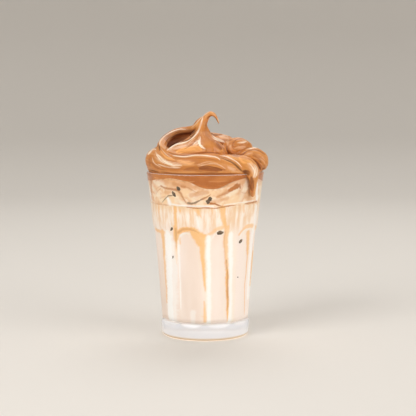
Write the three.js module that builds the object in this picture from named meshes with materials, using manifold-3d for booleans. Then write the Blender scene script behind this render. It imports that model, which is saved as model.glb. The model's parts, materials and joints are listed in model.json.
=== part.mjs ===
// A cold whipped-coffee latte: a fluted glass tumbler of milk, a band of froth on the milk,
// and whipped coffee heaped over the rim in folds, with a curled peak and one run down the glass.
// Millimetres, +Z up. The origin is on the table under the middle of the glass, and -Y is the front.

import * as THREE from "three";
import { mergeVertices } from "three/addons/utils/BufferGeometryUtils.js";
import Module from "manifold-3d";

const wasm = await Module();
wasm.setup();

const { clamp, degToRad, euclideanModulo, lerp, radToDeg, smoothstep } = THREE.MathUtils;

// The tumbler's outside: a straight taper with a slight flare at the rim
const GLASS_HEIGHT = 123;
const RIM_RADIUS = 44;
const FOOT_RADIUS = 32.4;
const RIM_FLARE = 1.35;
const FLARE_POWER = 5;
const TAPER = (RIM_RADIUS - FOOT_RADIUS - RIM_FLARE) / GLASS_HEIGHT;
const FOOT_FILLET = 2.4;

// Its wall and its thick base
const RIM_WALL = 2.2;
const LOW_WALL = 4.4;
const WALL_THINS_FROM = 60;
const FLOOR_HEIGHT = 11;
const FLOOR_FILLET = 6;

// The flat panels round it, each with an arched top
const PANELS = 10;
const HALF_PANEL = Math.PI / PANELS;
const ARCH_SPRING_HEIGHT = 77.5;
const ARCH_RISE = 6.5;
const ARCH_ROWS = 6;
const PANEL_FOOT_HEIGHT = 15;
const PANEL_FOOT_FADE = 5;

// What is in it
const GAP = 0.3;
const MILK_LEVEL = 100;
const COFFEE_LEVEL = 119.9;
const COFFEE_MIDDLE_LEVEL = 115;
// Where the whipped coffee sags into the froth: degrees from the front, half width, depth
const COFFEE_SAGS = [
  [6, 19, 7.6],
  [92, 22, 4.6],
  [158, 18, 6.6],
  [218, 20, 4.2],
  [281, 22, 3.4],
];
// The mound that carries the folds, from the rim to the middle line: out, up
const MOUND = [
  [43.4, 124.4],
  [43, 128],
  [38, 133.5],
  [28, 137.5],
  [14, 139.5],
];

// The folds. Each row is one station: degrees from the front, out, up, radius
const RIM_FOLD_FRONT = [
  [-95, 34.4, 131.4, 8.6],
  [-74, 36.2, 130.8, 9.5],
  [-38, 35.8, 129.4, 8.5],
  [-8, 35.6, 129.6, 8],
  [15, 35.8, 128.6, 7.2],
  [32, 37.2, 126.6, 5],
  [43, 39, 125.4, 2.6],
];
const RIM_FOLD_BACK = [
  [60, 34, 129.5, 6],
  [78, 37.6, 131.6, 8.4],
  [98, 38.2, 131.2, 8.8],
  [135, 36.2, 131, 9],
  [180, 35.4, 131.2, 9.4],
  [-142, 35.6, 132.4, 9.4],
  [-114, 35, 133.2, 8.8],
  [-92, 32, 132.5, 6],
];
const RIBBON = [
  [-20, 36.4, 133.4, 3],
  [-42, 35.4, 135, 4],
  [-64, 33.8, 138.4, 4.6],
  [-84, 31.4, 142.4, 4.3],
  [-104, 28.8, 147.2, 3.9],
  [-122, 24.6, 151, 3.7],
  [-137, 17.6, 152.6, 3.7],
  [-146, 9.8, 154.6, 3.5],
  [-156, 4.2, 159.4, 3],
  [90, 1, 163.6, 2.4],
];
const RIBBON_BACKING = [
  [-70, 35, 134.6, 5],
  [-96, 33.8, 139, 6],
  [-122, 29, 143, 6.8],
  [-146, 21, 144.8, 7.2],
  [168, 18.4, 143.4, 7.8],
  [138, 21.6, 141.6, 7.8],
  [114, 24, 138, 7.4],
];
const SLOPE = [
  [-44, 33, 132, 5],
  [-50, 25, 134.6, 7],
  [-48, 15.6, 137, 8.6],
  [-44, 7.6, 139.6, 9],
];
const LIP = [
  [-52, 34, 134.4, 3.6],
  [-60, 28, 138.4, 3.6],
  [-66, 20.4, 141, 3.8],
  [-72, 12.6, 143.2, 4],
  [-84, 7.4, 147.8, 4],
  [-96, 5, 153.4, 3.6],
];
const PEAK = [
  [-16, 12, 127, 15],
  [-12, 8, 137, 13.4],
  [-14, 4.4, 145, 9.2],
  [-60, 2, 151.4, 5.6],
  [-90, 2.6, 157.4, 4.2],
  [-90, 0.3, 161.4, 2.8],
  [90, 2.2, 165, 2.2],
  [90, 4.6, 166, 1.9],
  [90, 7.1, 164.4, 1.4],
  [90, 9.2, 161.2, 1],
  [90, 10.4, 157.4, 0.8],
];
const SHELF = [
  [150, 4, 146, 5],
  [104, 9, 144.4, 5],
  [78, 14, 141.4, 4.6],
  [56, 19, 137.4, 4.4],
  [42, 25, 134, 4.2],
];
const DOLLOP = [
  [86, 17.4, 139, 6.4],
  [82, 23, 139.8, 8],
  [84, 29, 139.8, 7.8],
  [90, 34.6, 136.8, 6],
];
const RUN = [
  [16, 25, 133.4, 4.4],
  [32, 30.6, 133, 5.6],
  [45, 37, 131.2, 6.6],
  [50.4, 42.4, 127, 6.3],
  [51, 44.5, 121.6, 4.8],
  [51.8, 44.2, 116.2, 3],
  [52.4, 43.8, 111.2, 2.1],
  [52.4, 43.4, 105.2, 1.8],
];
// The deep hollow under the ribbon: degrees from the front, out, up, and its half sizes
const HOLLOW_PLACE = [-104, 18, 146.4];
const HOLLOW_SIZE = [13.6, 9.6, 7.4];
const HOLLOW_TILT = 12;

// How finely the shapes are divided: steps round the middle line, and rows up the walls
const GLASS_STEPS = PANELS * 6;
const DRINK_STEPS = 60;
const FOOT_ROWS = [7, PANEL_FOOT_HEIGHT - PANEL_FOOT_FADE, 11.2, 12.8, PANEL_FOOT_HEIGHT];
const PANEL_ROWS = [30, 46, 62];
const UPPER_ROWS = [92, 101, 109, 116];
const MILK_ROWS = [24, 40, 60, 74, 88];
const FOLD_SIDES = 12;
const FOLD_STEP = 4.6;
const FEWEST_FOLD_STEPS = 8;
const PEAK_STEP = 2.4;

// A point at an angle from the front, a distance from the middle line and a height
function at(degrees, out, up) {
  const angle = degToRad(degrees);
  return new THREE.Vector3(out * Math.sin(angle), -out * Math.cos(angle), up);
}

function outerRadius(z) {
  return FOOT_RADIUS + TAPER * z + RIM_FLARE * (z / GLASS_HEIGHT) ** FLARE_POWER;
}

function innerRadius(z) {
  return outerRadius(z) - lerp(LOW_WALL, RIM_WALL, smoothstep(z, WALL_THINS_FROM, GLASS_HEIGHT));
}

// How far out a panel's flat lies at an angle, past the round wall above its arch and below its foot
function panelRadius(z, angle) {
  const fromMiddle = euclideanModulo(angle, 2 * HALF_PANEL) - HALF_PANEL;
  const aboveSpring = (z - ARCH_SPRING_HEIGHT) / ARCH_RISE;
  const belowFoot = (PANEL_FOOT_HEIGHT - z) / PANEL_FOOT_FADE;
  const fade = clamp(Math.max(aboveSpring, belowFoot), 0, 1) ** 2;
  return (outerRadius(z) * lerp(Math.cos(HALF_PANEL), 1, fade)) / Math.cos(fromMiddle);
}

// Profile points on part of a circle, from one angle to another
function arc(centreOut, centreUp, radius, fromDegrees, toDegrees, steps) {
  return Array.from({ length: steps + 1 }, (_, i) => {
    const angle = degToRad(lerp(fromDegrees, toDegrees, i / steps));
    return [centreOut + radius * Math.cos(angle), centreUp + radius * Math.sin(angle)];
  });
}

// A body of revolution about Z. reshape may move a vertex, given the number of its profile point
function turned(profile, steps, reshape = () => {}) {
  const points = profile.map(([out, up]) => new THREE.Vector2(out, up));
  const geometry = new THREE.LatheGeometry(points, steps).rotateX(Math.PI / 2);
  const position = geometry.attributes.position;
  const vertex = new THREE.Vector3();
  for (let i = 0; i < position.count; i++) {
    vertex.fromBufferAttribute(position, i);
    reshape(vertex, i % points.length);
    position.setXYZ(i, vertex.x, vertex.y, vertex.z);
  }
  return geometry;
}

// The geometry as one closed solid, without the flat triangles that a pole leaves
function solidOf(geometry) {
  const bare = geometry.clone();
  bare.deleteAttribute("normal");
  bare.deleteAttribute("uv");
  const merged = mergeVertices(bare, 1e-3);
  const corners = [];
  for (let i = 0; i < merged.index.count; i += 3) {
    const [a, b, c] = merged.index.array.slice(i, i + 3);
    if (a !== b && b !== c && c !== a) corners.push(a, b, c);
  }
  return new wasm.Manifold(
    new wasm.Mesh({
      numProp: 3,
      vertProperties: merged.attributes.position.array,
      triVerts: new Uint32Array(corners),
    }),
  );
}

function geometryOf(solid) {
  const mesh = solid.getMesh();
  const geometry = new THREE.BufferGeometry();
  geometry.setAttribute("position", new THREE.BufferAttribute(mesh.vertProperties, 3));
  geometry.setIndex(new THREE.BufferAttribute(mesh.triVerts, 1));
  geometry.computeVertexNormals();
  return geometry;
}

// The fluted tumbler
function tumbler() {
  const foot = arc(outerRadius(FOOT_FILLET) - FOOT_FILLET, FOOT_FILLET, FOOT_FILLET, -90, 0, 3);
  const archHeights = Array.from(
    { length: ARCH_ROWS + 1 },
    (_, i) => ARCH_SPRING_HEIGHT + (ARCH_RISE * i) / ARCH_ROWS,
  );
  const wall = [...FOOT_ROWS, ...PANEL_ROWS, ...archHeights, ...UPPER_ROWS];
  const rimRound = RIM_WALL / 2;
  const rim = arc(RIM_RADIUS - rimRound, GLASS_HEIGHT - rimRound, rimRound, 0, 180, 4);
  const filletUp = FLOOR_HEIGHT + FLOOR_FILLET;
  const profile = [
    [0, 0],
    ...foot,
    ...wall.map((z) => [outerRadius(z), z]),
    ...rim,
    ...[...MILK_ROWS, ...UPPER_ROWS].toReversed().map((z) => [innerRadius(z), z]),
    ...arc(innerRadius(filletUp) - FLOOR_FILLET, filletUp, FLOOR_FILLET, 0, -90, 3),
    [0, FLOOR_HEIGHT],
  ];
  return turned(profile, GLASS_STEPS, (vertex) => {
    const out = Math.hypot(vertex.x, vertex.y);
    const flat = panelRadius(vertex.z, Math.atan2(vertex.x, -vertex.y));
    if (out > flat) vertex.multiply(new THREE.Vector3(flat / out, flat / out, 1));
  });
}

// Milk up to its level, clear of the wall and the floor
function milk() {
  const filletUp = FLOOR_HEIGHT + FLOOR_FILLET;
  const fillet = arc(innerRadius(filletUp) - FLOOR_FILLET, filletUp, FLOOR_FILLET - GAP, -90, 0, 3);
  const top = MILK_LEVEL - GAP / 2;
  const profile = [
    [0, FLOOR_HEIGHT + GAP],
    ...fillet,
    ...[...MILK_ROWS, top].map((z) => [innerRadius(z) - GAP, z]),
    [0, top],
  ];
  return turned(profile, DRINK_STEPS);
}

// The height where the whipped coffee meets the froth
function meetingHeight(degrees, out) {
  const sag = ([middle, halfWidth, depth]) => {
    const away = euclideanModulo(degrees - middle + 180, 360) - 180;
    return depth * Math.exp(-((away / halfWidth) ** 2));
  };
  const atWall = COFFEE_LEVEL - COFFEE_SAGS.map(sag).reduce((total, depth) => total + depth);
  return lerp(COFFEE_MIDDLE_LEVEL, atWall, smoothstep(out / innerRadius(COFFEE_LEVEL), 0.2, 0.9));
}

// Profile points where the two meet, from the wall to the middle line
const MEETING_EDGE = innerRadius(COFFEE_LEVEL) - GAP;
const MEETING_RINGS = [1, 0.8, 0.55, 0.3].map((share) => [MEETING_EDGE * share, COFFEE_LEVEL]);

function putOnMeeting(vertex, clearance) {
  const degrees = radToDeg(Math.atan2(vertex.x, -vertex.y));
  const out = Math.hypot(vertex.x, vertex.y);
  vertex.z = meetingHeight(degrees, out) + clearance;
  const wallOut = innerRadius(vertex.z) - GAP;
  if (out > wallOut) vertex.multiply(new THREE.Vector3(wallOut / out, wallOut / out, 1));
}

// Froth between the milk and the whipped coffee
function froth() {
  const bottom = MILK_LEVEL + GAP / 2;
  const side = [bottom, (MILK_LEVEL + COFFEE_MIDDLE_LEVEL) / 2].map((z) => [innerRadius(z) - GAP, z]);
  const profile = [[0, bottom], ...side, ...MEETING_RINGS, [0, COFFEE_LEVEL]];
  return turned(profile, DRINK_STEPS, (vertex, row) => {
    if (row > side.length) putOnMeeting(vertex, -GAP / 2);
  });
}

// A round fold along a curve through its stations, blunt at both ends
function fold(stations, step = FOLD_STEP) {
  const path = new THREE.CatmullRomCurve3(stations.map(([degrees, out, up]) => at(degrees, out, up)));
  const radii = new THREE.SplineCurve(stations.map(([, , , radius], i) => new THREE.Vector2(i, radius)));
  const length = path.getLength();
  const steps = Math.max(FEWEST_FOLD_STEPS, Math.round(length / step));
  const frames = path.computeFrenetFrames(steps);
  const geometry = new THREE.SphereGeometry(1, FOLD_SIDES, steps);
  const { position, uv } = geometry.attributes;
  const vertex = new THREE.Vector3();
  for (let i = 0; i < position.count; i++) {
    const row = Math.round((1 - uv.getY(i)) * steps);
    const turn = uv.getX(i) * 2 * Math.PI;
    const radius = radii.getPoint(path.getUtoTmapping(row / steps)).y;
    const toEnd = Math.min(row, steps - row) * (length / steps);
    const blunt = Math.sqrt(1 - Math.max(0, 1 - toEnd / radius) ** 2);
    vertex.copy(path.getPointAt(row / steps));
    vertex.addScaledVector(frames.normals[row], -radius * blunt * Math.cos(turn));
    vertex.addScaledVector(frames.binormals[row], radius * blunt * Math.sin(turn));
    position.setXYZ(i, vertex.x, vertex.y, vertex.z);
  }
  return solidOf(geometry);
}

// The whipped coffee from the froth up to the mound that carries the folds
function mound() {
  const side = [COFFEE_LEVEL + 1.5, GLASS_HEIGHT].map((z) => [innerRadius(z) - GAP, z]);
  const underside = [[0, COFFEE_LEVEL], ...MEETING_RINGS.toReversed()];
  const profile = [...underside, ...side, ...MOUND, [0, MOUND.at(-1)[1]]];
  return solidOf(
    turned(profile, DRINK_STEPS, (vertex, row) => {
      if (row < underside.length) putOnMeeting(vertex, GAP / 2);
    }),
  );
}

// The hollow under the ribbon
function hollow() {
  const geometry = new THREE.SphereGeometry(1, 24, 16).scale(...HOLLOW_SIZE);
  const place = at(...HOLLOW_PLACE);
  return solidOf(geometry.rotateY(-degToRad(HOLLOW_TILT)).translate(place.x, place.y, place.z));
}

// The upper wall of the glass with the gap all round it, to keep the whipped coffee off it
function wallWithGap() {
  const halfWall = RIM_WALL / 2;
  const rows = [...UPPER_ROWS, COFFEE_LEVEL];
  const profile = [
    ...rows.map((z) => [outerRadius(z) + GAP, z]),
    ...arc(RIM_RADIUS - halfWall, GLASS_HEIGHT - halfWall, halfWall + GAP, 0, 180, 6),
    ...rows.toReversed().map((z) => [innerRadius(z) - GAP, z]),
    [outerRadius(rows[0]) + GAP, rows[0]],
  ];
  return solidOf(turned(profile, DRINK_STEPS));
}

// The run over the rim, without what would reach inside the glass below its top
function run() {
  const out = RIM_RADIUS - RIM_WALL / 2;
  const inside = [[0, MILK_LEVEL], [out, MILK_LEVEL], [out, COFFEE_LEVEL], [0, COFFEE_LEVEL]];
  return fold(RUN).subtract(solidOf(turned(inside, DRINK_STEPS)));
}

// The whipped coffee: its mound, the folds on it, the hollow and the run over the rim
function whippedCoffee() {
  const rounds = [RIM_FOLD_FRONT, RIM_FOLD_BACK, RIBBON_BACKING, SHELF, DOLLOP];
  const low = [...rounds.map((stations) => fold(stations)), fold(PEAK, PEAK_STEP)];
  const high = [fold(RIBBON), fold(SLOPE), fold(LIP), run()];
  const heap = low.reduce((solid, part) => solid.add(part), mound()).subtract(hollow());
  const folded = high.reduce((solid, part) => solid.add(part), heap);
  return geometryOf(folded.subtract(wallWithGap()));
}

const clearGlass = { color: 0xf2f5f4, roughness: 0.05, metalness: 0, transparent: true, opacity: 0.35 };
const finishes = {
  glass: clearGlass,
  milk: { color: 0xf4e4d2, roughness: 0.35, metalness: 0 },
  milk_foam: { color: 0xe3b98b, roughness: 0.6, metalness: 0 },
  whipped_coffee: { color: 0xc9813f, roughness: 0.4, metalness: 0 },
};

function part(name, geometry) {
  const mesh = new THREE.Mesh(geometry, new THREE.MeshStandardMaterial(finishes[name]));
  mesh.name = name;
  return mesh;
}

const group = new THREE.Group();
group.add(part("glass", tumbler()));
group.add(part("milk", milk()));
group.add(part("milk_foam", froth()));
group.add(part("whipped_coffee", whippedCoffee()));

export default group;
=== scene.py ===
# %% [markdown]
# # A cold whipped-coffee latte in a fluted glass
# The drink is milk in a pressed-glass tumbler, with a band of froth on the milk and whipped coffee
# heaped over the rim in soft folds. The imported model gives every size, so it is loaded first, and
# each piece below is made around it. Its outer box is kept, and printed at the end beside the
# finished drink's.

import json
import math
import random

import bmesh
import bpy
import numpy as np
from mathutils import Matrix, Vector, noise
from mathutils.bvhtree import BVHTree

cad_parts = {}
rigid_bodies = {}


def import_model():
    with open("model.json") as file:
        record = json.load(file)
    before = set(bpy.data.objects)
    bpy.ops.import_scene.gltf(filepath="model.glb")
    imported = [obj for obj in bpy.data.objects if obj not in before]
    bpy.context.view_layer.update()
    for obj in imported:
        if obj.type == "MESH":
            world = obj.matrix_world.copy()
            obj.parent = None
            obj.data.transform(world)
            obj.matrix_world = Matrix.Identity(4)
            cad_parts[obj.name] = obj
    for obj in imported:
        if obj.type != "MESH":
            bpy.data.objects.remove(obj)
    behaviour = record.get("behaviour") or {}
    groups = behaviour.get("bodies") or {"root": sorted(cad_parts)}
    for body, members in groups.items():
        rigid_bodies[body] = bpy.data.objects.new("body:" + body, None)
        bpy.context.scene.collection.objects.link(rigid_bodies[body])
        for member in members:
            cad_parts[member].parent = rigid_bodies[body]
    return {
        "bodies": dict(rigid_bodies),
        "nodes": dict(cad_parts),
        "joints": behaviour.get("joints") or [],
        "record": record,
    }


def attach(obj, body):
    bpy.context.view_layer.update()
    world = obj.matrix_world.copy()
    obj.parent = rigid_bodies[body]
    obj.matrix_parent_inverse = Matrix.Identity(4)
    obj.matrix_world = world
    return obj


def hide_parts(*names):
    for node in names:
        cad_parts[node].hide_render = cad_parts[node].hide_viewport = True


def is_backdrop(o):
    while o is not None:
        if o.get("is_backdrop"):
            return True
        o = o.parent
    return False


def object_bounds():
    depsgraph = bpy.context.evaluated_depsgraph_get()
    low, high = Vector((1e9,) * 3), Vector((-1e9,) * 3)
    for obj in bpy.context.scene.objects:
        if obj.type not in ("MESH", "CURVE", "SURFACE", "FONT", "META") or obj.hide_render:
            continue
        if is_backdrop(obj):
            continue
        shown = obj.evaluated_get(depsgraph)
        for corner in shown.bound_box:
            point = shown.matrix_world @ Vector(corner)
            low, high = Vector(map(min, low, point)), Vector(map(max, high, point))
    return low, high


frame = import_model()
CAD_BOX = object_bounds()
print("nodes:", sorted(frame["nodes"]))
print("box in mm:", [[round(value * 1000, 1) for value in corner] for corner in CAD_BOX])

# %% [markdown]
# ## The camera and the room
# The camera looks at the glass from almost a metre away and a little above the rim, so the rim is a
# thin ellipse. The room is a pale bowl turned round the middle line. Clear glass shows what stands
# round it, so an even room keeps the glass clean and bright.

# %% Camera
MM = 0.001
CAMERA_PLACE = Vector((2.07, -866, 181)) * MM
CAMERA_PITCH = math.radians(5.66)
LENS, SENSOR = 100.2, 36

camera_data = bpy.data.cameras.new("camera")
camera_data.lens, camera_data.sensor_width = LENS, SENSOR
camera_data.clip_start, camera_data.clip_end = 0.01, 20
camera = bpy.data.objects.new("camera", camera_data)
camera.location = CAMERA_PLACE
camera.rotation_euler = (math.pi / 2 - CAMERA_PITCH, 0, 0)
bpy.context.scene.collection.objects.link(camera)
bpy.context.scene.camera = camera
bpy.context.scene.view_settings.view_transform = "Standard"
print("camera", [round(value, 3) for value in camera.location])

# %% [markdown]
# Everything below is drawn in millimetres, which suit a glass, and each piece turns to metres once,
# when it is finished. Most of the pieces are round. A profile turned round the middle line gives
# them with few points, and one helper does that for the room, the glass and what fills it.

# %% Helpers that turn millimetres into a finished object
MERGE_WITHIN = 1e-4


def rgb(red, green, blue):
    """A colour as it looks on a screen, 0 to 255, as the linear colour that a shader takes."""
    channels = [value / 255 for value in (red, green, blue)]
    linear = [c / 12.92 if c <= 0.04045 else ((c + 0.055) / 1.055) ** 2.4 for c in channels]
    return (*linear, 1)


def finish_mesh(bm, name):
    """Makes a bmesh in millimetres a mesh object in metres, closed up and smooth."""
    bmesh.ops.remove_doubles(bm, verts=bm.verts, dist=MERGE_WITHIN)
    bmesh.ops.recalc_face_normals(bm, faces=bm.faces)
    bmesh.ops.scale(bm, vec=(MM, MM, MM), verts=bm.verts)
    for face in bm.faces:
        face.smooth = True
    mesh = bpy.data.meshes.new(name)
    bm.to_mesh(mesh)
    bm.free()
    piece = bpy.data.objects.new(name, mesh)
    bpy.context.scene.collection.objects.link(piece)
    triangles = sum(len(polygon.vertices) - 2 for polygon in mesh.polygons)
    print(name, len(mesh.vertices), "vertices,", triangles, "triangles")
    return piece


def spin_profile(profile, columns):
    """Turns (out, up) points, in millimetres, a full turn round the middle line."""
    bm = bmesh.new()
    points = [bm.verts.new((out, 0, up)) for out, up in profile]
    edges = [bm.edges.new(pair) for pair in zip(points, points[1:])]
    bmesh.ops.spin(
        bm,
        geom=points + edges,
        axis=(0, 0, 1),
        cent=(0, 0, 0),
        angle=2 * math.pi,
        steps=columns,
        use_merge=True,
    )
    return bm


# %% The room and its lights
LAMPS_FACE, WORLD_LIGHT = (0, 0, 0.1), 0.56


def new_material(name):
    """A material and its Principled shader."""
    material = bpy.data.materials.new(name)
    material.use_nodes = True
    return material, material.node_tree.nodes["Principled BSDF"]


def fill_inputs(shader, **values):
    for name, value in values.items():
        shader.inputs[name.replace("_", " ")].default_value = value


def soft_light(name, place, size, power):
    """A square lamp at a place in metres that faces the middle of the drink."""
    data = bpy.data.lights.new(name, "AREA")
    data.size, data.energy = size, power
    lamp = bpy.data.objects.new(name, data)
    lamp.location = place
    lamp.rotation_euler = (Vector(LAMPS_FACE) - Vector(place)).to_track_quat("-Z", "Y").to_euler()
    bpy.context.scene.collection.objects.link(lamp)


ROOM_PROFILE = [(0, 0), (1200, 0), (1800, 80), (2300, 350), (2600, 900), (2700, 1800), (2700, 2600)]
room = finish_mesh(spin_profile(ROOM_PROFILE, 64), "studio_floor")
for polygon in room.data.polygons:
    polygon.flip()
backdrop, shader = new_material("pale backdrop")
fill_inputs(shader, Base_Color=rgb(226, 221, 214), Roughness=0.9)
room.data.materials.append(backdrop)
room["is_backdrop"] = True

soft_light("key light", (-0.8, -0.85, 0.82), 0.7, 8.5)
soft_light("fill light", (1.1, -0.7, 0.5), 1.0, 8)
soft_light("top light", (0.1, 0.7, 1.3), 0.9, 6)

world = bpy.data.worlds.new("pale room")
bpy.context.scene.world = world
world.use_nodes = True
world.node_tree.nodes["Background"].inputs["Color"].default_value = (1, 0.985, 0.965, 1)
world.node_tree.nodes["Background"].inputs["Strength"].default_value = WORLD_LIGHT

# %% [markdown]
# ## The glass
# Pressed tumblers like this one have a thick base and ten flat panels, each with an arched top. The
# round shape is a profile turned round the middle line. Then every point that stands outside a
# panel's flat is pulled in to it. The arch comes by itself, where the flat meets the round wall.

# %% Sizes of the glass, in millimetres
GLASS_HEIGHT, RIM_RADIUS, FOOT_RADIUS = 123, 44, 32.4
RIM_FLARE, FLARE_POWER, FOOT_FILLET = 1.35, 5, 2.4
RIM_WALL, LOW_WALL, WALL_THINS_FROM = 2.2, 4.4, 60
FLOOR_HEIGHT, FLOOR_FILLET = 11, 6
PANELS, ARCH_SPRING, ARCH_RISE = 10, 77.5, 6.5
PANEL_FOOT, PANEL_FOOT_FADE = 15, 5
TAPER = (RIM_RADIUS - FOOT_RADIUS - RIM_FLARE) / GLASS_HEIGHT
HALF_PANEL = math.pi / PANELS
INTO_WALL = 0.15


def ease(value, low, high):
    share = min(max((value - low) / (high - low), 0), 1)
    return share * share * (3 - 2 * share)


def outer_radius(up):
    return FOOT_RADIUS + TAPER * up + RIM_FLARE * (up / GLASS_HEIGHT) ** FLARE_POWER


def inner_radius(up):
    thinning = ease(up, WALL_THINS_FROM, GLASS_HEIGHT)
    return outer_radius(up) - LOW_WALL - (RIM_WALL - LOW_WALL) * thinning


def panel_radius(up, angle):
    """How far out a panel's flat lies at an angle, past the round wall above its arch."""
    from_middle = angle % (2 * HALF_PANEL) - HALF_PANEL
    fade = max((up - ARCH_SPRING) / ARCH_RISE, (PANEL_FOOT - up) / PANEL_FOOT_FADE)
    fade = min(max(fade, 0), 1) ** 2
    flat = math.cos(HALF_PANEL)
    return outer_radius(up) * (flat + (1 - flat) * fade) / math.cos(from_middle)


def arc(centre_out, centre_up, radius, start, end, steps):
    """Profile points on part of a circle, from one angle in degrees to another."""
    angles = np.radians(np.linspace(start, end, steps + 1))
    return [(centre_out + radius * math.cos(a), centre_up + radius * math.sin(a)) for a in angles]


def set_radius(vertex, out, wanted):
    """Moves a point that is this far from the middle line straight in or out to another radius."""
    vertex.co.x *= wanted / out
    vertex.co.y *= wanted / out


print("taper:", round(TAPER, 4), "inner radius at the rim:", round(inner_radius(GLASS_HEIGHT), 2))

# %% Spin the glass and press its panels
GLASS_COLUMNS = PANELS * 18
NEAR_MIDDLE = 1


def glass_profile():
    """The wall's section. Rows lie close where the panels begin and where their arches end."""
    foot = arc(outer_radius(FOOT_FILLET) - FOOT_FILLET, FOOT_FILLET, FOOT_FILLET, -90, 0, 8)
    heights = [*np.arange(4, 18, 0.8), *np.arange(20, 74, 6), *np.arange(75, 86, 0.5), 88, 92]
    heights += [*np.arange(97, 120, 4), 120.5]
    half_wall = RIM_WALL / 2
    rim = arc(RIM_RADIUS - half_wall, GLASS_HEIGHT - half_wall, half_wall, 0, 180, 12)
    corner = FLOOR_HEIGHT + FLOOR_FILLET
    fillet = arc(inner_radius(corner) - FLOOR_FILLET, corner, FLOOR_FILLET, 0, -90, 10)
    inside = [(inner_radius(up), up) for up in np.arange(119, 18, -4)]
    outside = [(outer_radius(up), up) for up in heights]
    floor = [(20, FLOOR_HEIGHT), (8, FLOOR_HEIGHT), (0, FLOOR_HEIGHT)]
    return [(0, 0), (8, 0), (20, 0), *foot, *outside, *rim, *inside, *fillet, *floor]


def press_panels(bm):
    for vertex in bm.verts:
        out = math.hypot(vertex.co.x, vertex.co.y)
        if out < NEAR_MIDDLE:
            continue
        flat = panel_radius(vertex.co.z, math.atan2(vertex.co.x, -vertex.co.y))
        if out > flat:
            set_radius(vertex, out, flat)


bm = spin_profile(glass_profile(), GLASS_COLUMNS)
press_panels(bm)
tumbler = finish_mesh(bm, "tumbler")
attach(tumbler, "root")
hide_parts("glass")

# %% [markdown]
# ### Materials
# Every material is a Principled shader. These helpers add noise that is tied to the object, mix
# colours by it, and let a value run from one height to another.

# %% Helpers for materials
# A Mix node's colour sockets share their names with its number sockets, so they go by number
MIX_BELOW, MIX_ABOVE, MIX_RESULT = 6, 7, 2


def add_node(material, kind, **values):
    """A new node, with inputs by name and other settings by their Python name."""
    node = material.node_tree.nodes.new(kind)
    for name, value in values.items():
        if name in node.inputs:
            node.inputs[name].default_value = value
        else:
            setattr(node, name, value)
    return node


def join(material, source, output, target, entry):
    material.node_tree.links.new(source.outputs[output], target.inputs[entry])


def object_noise(material, scale, stretch=(1, 1, 1), detail=3.0):
    """Noise on Object coordinates, in cells per millimetre, with each axis stretched."""
    coordinates = add_node(material, "ShaderNodeTexCoord")
    mapping = add_node(material, "ShaderNodeMapping")
    mapping.inputs["Scale"].default_value = [scale / MM * axis for axis in stretch]
    texture = add_node(material, "ShaderNodeTexNoise", Scale=1.0, Detail=detail, Roughness=0.55)
    join(material, coordinates, "Object", mapping, "Vector")
    join(material, mapping, "Vector", texture, "Vector")
    return texture


def add_bump(material, texture, shader, height):
    """Ripples the light on a surface by a texture, up to a height in millimetres."""
    bump = add_node(material, "ShaderNodeBump", Strength=1.0, Distance=height * MM)
    join(material, texture, "Fac", bump, "Height")
    join(material, bump, "Normal", shader, "Normal")


def mix_color(material, factor_node, factor_output, below, above):
    """Mixes a colour, or a node's colour, with another by a node's output, and returns the node."""
    mix = add_node(material, "ShaderNodeMix", data_type="RGBA")
    join(material, factor_node, factor_output, mix, "Factor")
    for value, socket in ((below, mix.inputs[MIX_BELOW]), (above, mix.inputs[MIX_ABOVE])):
        if isinstance(value, tuple):
            socket.default_value = value
        else:
            material.node_tree.links.new(value.outputs[MIX_RESULT], socket)
    return mix


def set_base_color(material, mix, shader):
    material.node_tree.links.new(mix.outputs[MIX_RESULT], shader.inputs["Base Color"])


def remap(material, source, output, low, high, to_low=0.0, to_high=1.0):
    node = add_node(material, "ShaderNodeMapRange", interpolation_type="SMOOTHSTEP")
    join(material, source, output, node, "Value")
    for name, value in (("From Min", low), ("From Max", high), ("To Min", to_low), ("To Max", to_high)):
        node.inputs[name].default_value = value
    return node


def mottled(material, scale, below, above, low=0.35, high=0.65, stretch=(1, 1, 1), detail=3.0):
    """Drifts between two colours by noise on the object, from a low to a high noise value."""
    share = remap(material, object_noise(material, scale, stretch, detail), "Fac", low, high)
    return mix_color(material, share, "Result", below, above)


def height_share(material, low, high, to_low=0.0, to_high=1.0):
    """Runs from to_low to to_high between two heights in millimetres."""
    coordinates = add_node(material, "ShaderNodeTexCoord")
    axes = add_node(material, "ShaderNodeSeparateXYZ")
    join(material, coordinates, "Object", axes, "Vector")
    return remap(material, axes, "Z", low * MM, high * MM, to_low, to_high)


def times(material, a, a_output, b, b_output):
    node = add_node(material, "ShaderNodeMath", operation="MULTIPLY")
    material.node_tree.links.new(a.outputs[a_output], node.inputs[0])
    material.node_tree.links.new(b.outputs[b_output], node.inputs[1])
    return node


print("helpers for materials ready")
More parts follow.
